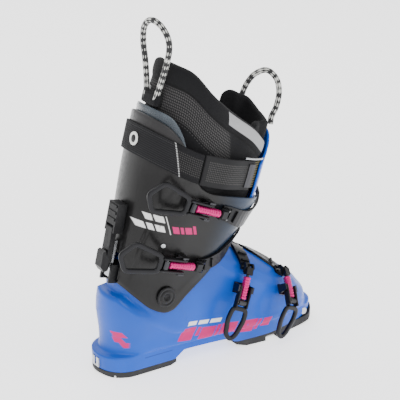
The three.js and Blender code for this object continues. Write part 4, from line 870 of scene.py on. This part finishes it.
def ribbed(name, dark, light, per_metre=420.0, seam_at=None):
    """Webbing: ribs across, a fine herringbone between them, and a stitched line by each edge."""
    s = Shader(name)
    ribs = s.wave(s.v, per_metre)
    twill = s.wave(s.add(s.u, s.times(s.v, 0.7)), 1500.0)
    cloth = s.add(s.times(ribs, 0.6), s.times(twill, 0.4))
    shade = s.mix(s.step(cloth, 0.2, 0.9), dark, light)
    near = s.add(s.between(s.v, 0.0022, 0.003, 0.0002), s.between(s.v, 0.031, 0.0318, 0.0002))
    stitch = s.times(near, s.step(s.wave(s.u, 330.0), 0.35, 0.5))
    shade = s.mix(s.times(stitch, 0.6), shade, (0.045, 0.045, 0.045))
    if seam_at:
        outer = s.times(s.step(s.y, -0.02, -0.025), s.step(s.x, seam_at, seam_at + 0.0004))
        cells = s.cells("F1", 420.0, 0.1)
        dots = s.times(s.step(cells, 0.42, 0.25), s.between(s.v, 0.006, 0.028, 0.0004))
        shade = s.mix(outer, shade, s.mix(dots, (0.006, 0.006, 0.007), (0.04, 0.039, 0.038)))
        seam = s.times(s.between(s.x, seam_at, seam_at + 0.0012, 0.0002), s.step(s.y, -0.02, -0.025))
        shade = s.mix(s.times(seam, s.step(s.wave(s.v, 400.0), 0.1, 0.3)), shade, (0.4, 0.4, 0.4))
    shade = s.mix(s.times(s.noise(40.0, 4.0), 0.3), shade, dark)
    return s.finish(shade, 0.8, cloth, 0.0003, 0.7, Specular_IOR_Level=0.2)


def dotted():
    """The overlay: a field of small raised dots inside a smooth border."""
    s = Shader("overlay_dots")
    dots = s.step(s.cells("F1", 420.0, 0.1), 0.42, 0.25)
    field = s.times(s.between(s.v, 0.006, 0.030, 0.0004), s.step(s.u, 0.006, 0.007))
    shade = s.mix(s.times(dots, field), (0.006, 0.006, 0.007), (0.04, 0.039, 0.038))
    height = s.times(dots, field)
    return s.finish(shade, 0.7, height, 0.0005, 0.7, Specular_IOR_Level=0.25)


def strap_wall(name, start, stop, half, lift, depth, material, relief=None, rows=16, rim=0.9):
    return wall(name, cuff_at, spread(start, stop, max(8, int((stop - start) * 40))),
                lambda phi: strap_mid(backness(phi)) - half, lambda phi: strap_mid(backness(phi)) + half,
                lift, depth, rows, material, rim, relief)


def overlay_lift(phi, w):
    forward = (phi - OVERLAY_FROM) / (OVERLAY_TO - OVERLAY_FROM)
    return mix(3 + STRAP_CLEAR, -CUFF_WALL - 1.2, smooth((forward - 0.35) / 0.5))


webbing = strap_wall("strap_band", 1.02, OVERLAY_FROM - 0.01, 17, lambda phi, w: STRAP_THICK + STRAP_CLEAR,
                     STRAP_THICK, ribbed("webbing", (0.005, 0.005, 0.006), (0.02, 0.02, 0.022), 420.0, 0.042))
place(webbing, "cuff_group", "webbing", "strap_webbing")


def overlay_relief(phi, w, low, high):
    """A field raised inside the border."""
    return 0.5 * smooth((w - low - 3) / 2) * smooth((high - w - 3) / 2)


overlay = strap_wall("strap_pad", OVERLAY_FROM, OVERLAY_TO, 18, overlay_lift, 3, dotted(), overlay_relief,
                     20, 1.2)
place(overlay, "cuff_group", "webbing", "strap_overlay")
ELASTIC_CLOTH = ribbed("elastic_rib", (0.007, 0.007, 0.006), (0.14, 0.12, 0.05), 330.0)
elastic = strap_wall("strap_stretch", OVERLAY_TO + 0.01, ELASTIC_TO, 16,
                     lambda phi, w: -FLAP_DEPTH - 3.6, 1.8, ELASTIC_CLOTH, None, 14, 0.8)
place(elastic, "cuff_group", "elastic", "strap_elastic")


# ---- buckles --------------------------------------------------------------------------------
PIN_HEIGHT, ROD_HEIGHT = 10.6, 9.8
CUFF_LOOP = [(0, -11), (-36, -21), (-51, 0), (-40, 20), (0, 11)]
SHELL_LOOP = [(0, -11), (-16, -13), (-36, -8), (-41, 1), (-35, 8), (-14, 13), (0, 11)]
BUCKLES = {
    "upper": (22, 35, 17, CUFF_LOOP), "lower": (22, 35, 19, CUFF_LOOP),
    "instep": (16, 27, 12, SHELL_LOOP), "toe": (16, 27, 42, SHELL_LOOP),
}


def buckle_matrix(name):
    """The buckle's frame: x along its rod, y out of the boot, origin below the lever's pin."""
    pull = Vector(JOINTS[name + "_barrel_turn"]["axis"]).normalized()
    across = -Vector(JOINTS[name + "_lever_turn"]["axis"]).normalized()
    out = across.cross(pull)
    pin = Vector(JOINTS[name + "_lever_turn"]["pos_m"])
    turn = Matrix((pull, out, across)).transposed().to_4x4()
    return turn, pin - out * PIN_HEIGHT * MM


def to_buckle(piece, name):
    turn, origin = buckle_matrix(name)
    piece.data.transform(Matrix.Translation(origin) @ turn)
    return piece


def bar_loop(name, path, width, height, material, closed=True, up=Vector((0, 1, 0))):
    """A bar of rounded oblong section along a path; width lies in the path's plane."""
    def squared(value, size):
        return math.copysign(abs(value) ** 0.5, value) * size / 2

    sides = 16
    turns = [TAU * k / sides for k in range(sides)]
    section = [(squared(math.cos(turn), width), squared(math.sin(turn), height)) for turn in turns]
    points, faces, count = [], [], len(path)
    for k, p in enumerate(path):
        before = path[k - 1] if closed or k else p
        after = path[(k + 1) % count] if closed or k + 1 < count else p
        along = (after - before).normalized()
        side = along.cross(up).normalized()
        top = side.cross(along)
        points += [p + side * a + top * b for a, b in section]
    for k in range(count if closed else count - 1):
        nxt = (k + 1) % count
        for i in range(sides):
            j = (i + 1) % sides
            faces.append((k * sides + i, nxt * sides + i, nxt * sides + j, k * sides + j))
    if not closed:
        faces += [tuple(reversed(range(sides))), tuple(range((count - 1) * sides, count * sides))]
    return make_object(name, points, faces, material)


def round_corners(corners, radius, steps=5):
    """A closed path with straight sides and rounded corners."""
    out = []
    for k, here in enumerate(corners):
        before, after = corners[k - 1], corners[(k + 1) % len(corners)]
        back = min(radius, (before - here).length * 0.45)
        ahead = min(radius, (after - here).length * 0.45)
        start = here + (before - here).normalized() * back
        stop = here + (after - here).normalized() * ahead
        for i in range(steps + 1):
            t = i / steps
            out.append(start * (1 - t) ** 2 + here * 2 * t * (1 - t) + stop * t * t)
    return out


def build_lever(name, reach, bend, loop):
    bend = math.radians(bend)
    shift = -reach - 4.6 - 2.6 * math.sin(bend)
    turn = Matrix.Rotation(bend, 4, "Z")
    ring = [turn @ Vector((x, 0, z)) + Vector((shift, ROD_HEIGHT, 0)) for x, z in
            [(x * 0.95 - 2.5, z * 0.86) for x, z in loop]]
    smooth_ring = round_corners(ring, 5.5)
    parts = [bar_loop("loop", smooth_ring, 5.6, 4.6, BUCKLE_BLACK, True, turn @ Vector((0, 1, 0)))]
    for side in (-1, 1):
        z = side * 7.4
        arm = [Vector((3.2, PIN_HEIGHT, z)), Vector((0, PIN_HEIGHT + 0.2, z)),
               Vector((-reach / 2, PIN_HEIGHT, z)), Vector((-reach, ROD_HEIGHT + 0.2, z)),
               Vector((-reach - 6, ROD_HEIGHT, z * 1.02))]
        parts.append(bar_loop("arm", catmull(arm, 20), 2.7, 7.6, BUCKLE_BLACK, False))
        outside = Vector((0, PIN_HEIGHT, side * 8.7))
        parts.append(dome("rivet", outside, Vector((0, 0, side)), 2.6, 0.5, STEEL))
    pin = [Vector((-reach, ROD_HEIGHT, z)) for z in (-7, -2, 2, 7)]
    parts.append(tube("pin", pin, 1.7, STEEL, 12))
    piece = join(name + "_lever_frame", *parts)
    to_buckle(piece, name)
    return place(piece, name + "_lever_group", "buckle_black", name + "_lever")


def lathe(name, profile, origin, axis, material, sides=32, flute=None):
    """A turned piece: profile is pairs of distance along the axis and radius."""
    axis = axis.normalized()
    one = axis.orthogonal().normalized()
    two = axis.cross(one)
    points, faces = [], []
    for along, radius in profile:
        for k in range(sides):
            turn = TAU * k / sides
            r = radius * (flute(turn, along) if flute else 1)
            points.append(origin + axis * along + (one * math.cos(turn) + two * math.sin(turn)) * r)
    for j in range(len(profile) - 1):
        for k in range(sides):
            nxt = (k + 1) % sides
            faces.append((j * sides + k, j * sides + nxt, (j + 1) * sides + nxt, (j + 1) * sides + k))
    faces += [tuple(reversed(range(sides))), tuple(range((len(profile) - 1) * sides, len(profile) * sides))]
    return make_object(name, points, faces, material)


def dome(name, origin, axis, radius, height, material):
    profile = [(0, radius), (height * 0.5, radius), (height * 0.85, radius * 0.86), (height, radius * 0.6)]
    return lathe(name, profile, origin, axis, material, 20)


def build_barrel(name, reach, barrel):
    """The turned barrel: a plain collar at each end, grips between, and flutes to turn it by."""
    start = -reach + 4.4
    radius = 4.5
    profile = [(0, 2.7), (0.05, 3.6), (0.8, 4.4), (3, 4.5), (3.4, 3.7), (4.4, 3.7), (4.8, 4.5)]
    at = 4.8
    while at < barrel - 8:
        profile += [(at + 1.9, radius), (at + 2.3, radius - 0.55),
                    (at + 2.9, radius - 0.55), (at + 3.3, radius)]
        at += 3.3
    profile += [(barrel - 4.4, 4.5), (barrel - 4, 3.7), (barrel - 3, 3.7), (barrel - 2.6, 4.5),
                (barrel - 0.8, 4.4), (barrel - 0.05, 3.6), (barrel, 2.7)]

    def flute(turn, along):
        inside = smooth((along - 5) / 1.5) * smooth((barrel - 6 - along) / 1.5)
        return 1 - 0.06 * inside * max(0, math.cos(turn * 6))

    piece = lathe(name + "_barrel_body", profile, Vector((start, ROD_HEIGHT, 0)), Vector((1, 0, 0)),
                  BARREL_MAGENTA, 48, flute)
    to_buckle(piece, name)
    return place(piece, name + "_barrel_group", "barrel_magenta", name + "_barrel")


for buckle_name, (reach, barrel, bend, loop) in BUCKLES.items():
    build_lever(buckle_name, reach, bend, loop)
    build_barrel(buckle_name, reach, barrel)


# ---- ankle pivots and rivets ----------------------------------------------------------------
def pivot(side, node):
    profile = [
        (-5.6, 4.9), (-0.1, 4.9), (0.1, 11.6), (0.5, 12.3), (1.2, 12.4), (1.9, 12.2),
        (2.3, 11.4), (2.35, 9.6), (1.8, 9.2), (1.8, 8.4), (2.35, 8.0), (2.4, 4.4),
        (1.9, 3.9), (0.4, 3.7), (0.4, 0.4),
    ]
    piece = lathe(node + "_disc", profile, Vector((PIVOT_X, side * 51.5, PIVOT_Z)), Vector((0, side, 0)),
                  BLACK_PLASTIC, 48)
    return place(piece, "shell", "black_plastic", node)


pivot(-1, "pivot_bolt_outer")
pivot(1, "pivot_bolt_inner")


def surface_disc(name, phi, w, profile, material, sides=32):
    base = cuff_at(phi, w, 0)
    out = (cuff_at(phi + 0.01, w, 0) - base).cross(cuff_at(phi, w + 0.5, 0) - base).normalized()
    if out.dot(cuff_at(phi, w, 1) - base) < 0:
        out = -out
    return lathe(name, profile, base, out, material, sides)


SPINE_RIVET_W = 173
RING_PROFILE = [
    (3.5, 7.4), (3.9, 7.9), (4.9, 7.8), (5.3, 7.2), (5.35, 5.2), (4.9, 4.6),
    (4.4, 4.2), (4.4, 0.5),
]
CORE_PROFILE = [(3.6, 0.4), (3.6, 4.5), (4.9, 4.5), (5.1, 4.0), (5.1, 0.4)]
spine = surface_disc("spine_ring", math.pi, SPINE_RIVET_W, RING_PROFILE, WHITE_PLASTIC, 40)
core = surface_disc("spine_core", math.pi, SPINE_RIVET_W, CORE_PROFILE, BLACK_PLASTIC, 32)
spine = join("spine_ring", spine, core)
place(spine, "cuff_group", "white_plastic", "strap_rivet_spine")


# ---- CAD pieces that keep their shape -------------------------------------------------------
def keep(node, material, bevel=0.35, angle=30):
    piece = frame["nodes"][node]
    piece.data.materials.clear()
    piece.data.materials.append(material)
    if bevel:
        edge = piece.modifiers.new("edges", "BEVEL")
        edge.width = bevel * MM
        edge.segments = 2
        edge.limit_method = "ANGLE"
        edge.angle_limit = math.radians(angle)
        edge.harden_normals = False
    return piece


for node in ("upper", "lower", "instep", "toe"):
    keep(node + "_catch", BUCKLE_BLACK, 0.5)
    keep(node + "_hook", BUCKLE_BLACK, 0.4)
    keep(node + "_bail", DARK_STEEL, 0.2)
    keep(node + "_buckle_base", DARK_STEEL, 0.3)
for node in ("heel_sole", "toe_sole"):
    keep(node, SOLE_RUBBER, 0.6)
keep("toe_wear_plate", WHITE_PLASTIC, 0.4)
for node in ("walk_housing", "walk_lever", "spine_bracket", "boot_board"):
    keep(node, BLACK_PLASTIC, 0.8 if node.startswith("walk") else 0.4)
for node in ("heel_insert", "toe_insert_inner", "toe_insert_outer", "lock_bar", "strap_hook", "cuff_screw"):
    keep(node, STEEL, 0.2)
for node in ("strap_rivet_inner", "strap_tab"):
    keep(node, DARK_STEEL, 0.3)


# ---- floor and light ------------------------------------------------------------------------
def make_studio():
    s = Shader("floor_paper")
    grain = s.noise(240.0, 3.0)
    paper = s.finish(s.mix(grain, (0.9, 0.9, 0.905), (0.93, 0.93, 0.935)), 0.9, grain, 0.0001, 0.1,
                     Emission_Color=(1, 1, 1, 1), Emission_Strength=1.5)
    reach, drop = 4000, -0.2
    corners = [(-reach, -reach, drop), (reach, -reach, drop), (reach, reach, drop), (-reach, reach, drop)]
    floor = make_object("floor", corners, [(0, 1, 2, 3)], paper, None, False)
    world = bpy.data.worlds.new("studio")
    world.use_nodes = True
    world.node_tree.nodes["Background"].inputs[0].default_value = (1, 1, 1, 1)
    world.node_tree.nodes["Background"].inputs[1].default_value = 1.0
    bpy.context.scene.world = world
    for name, place_at, size, power in (
        ("key", (-0.9, -1.3, 1.9), 1.4, 26),
        ("fill", (1.4, -1.2, 1.0), 1.6, 9),
        ("back", (0.2, 1.5, 1.6), 1.5, 14),
    ):
        data = bpy.data.lights.new(name, "AREA")
        data.size = size
        data.energy = power
        light = bpy.data.objects.new(name, data)
        light.location = place_at
        aim = Vector((0.1, 0, 0.16)) - light.location
        light.rotation_mode = "QUATERNION"
        light.rotation_quaternion = aim.to_track_quat("-Z", "Y")
        bpy.context.collection.objects.link(light)


make_studio()
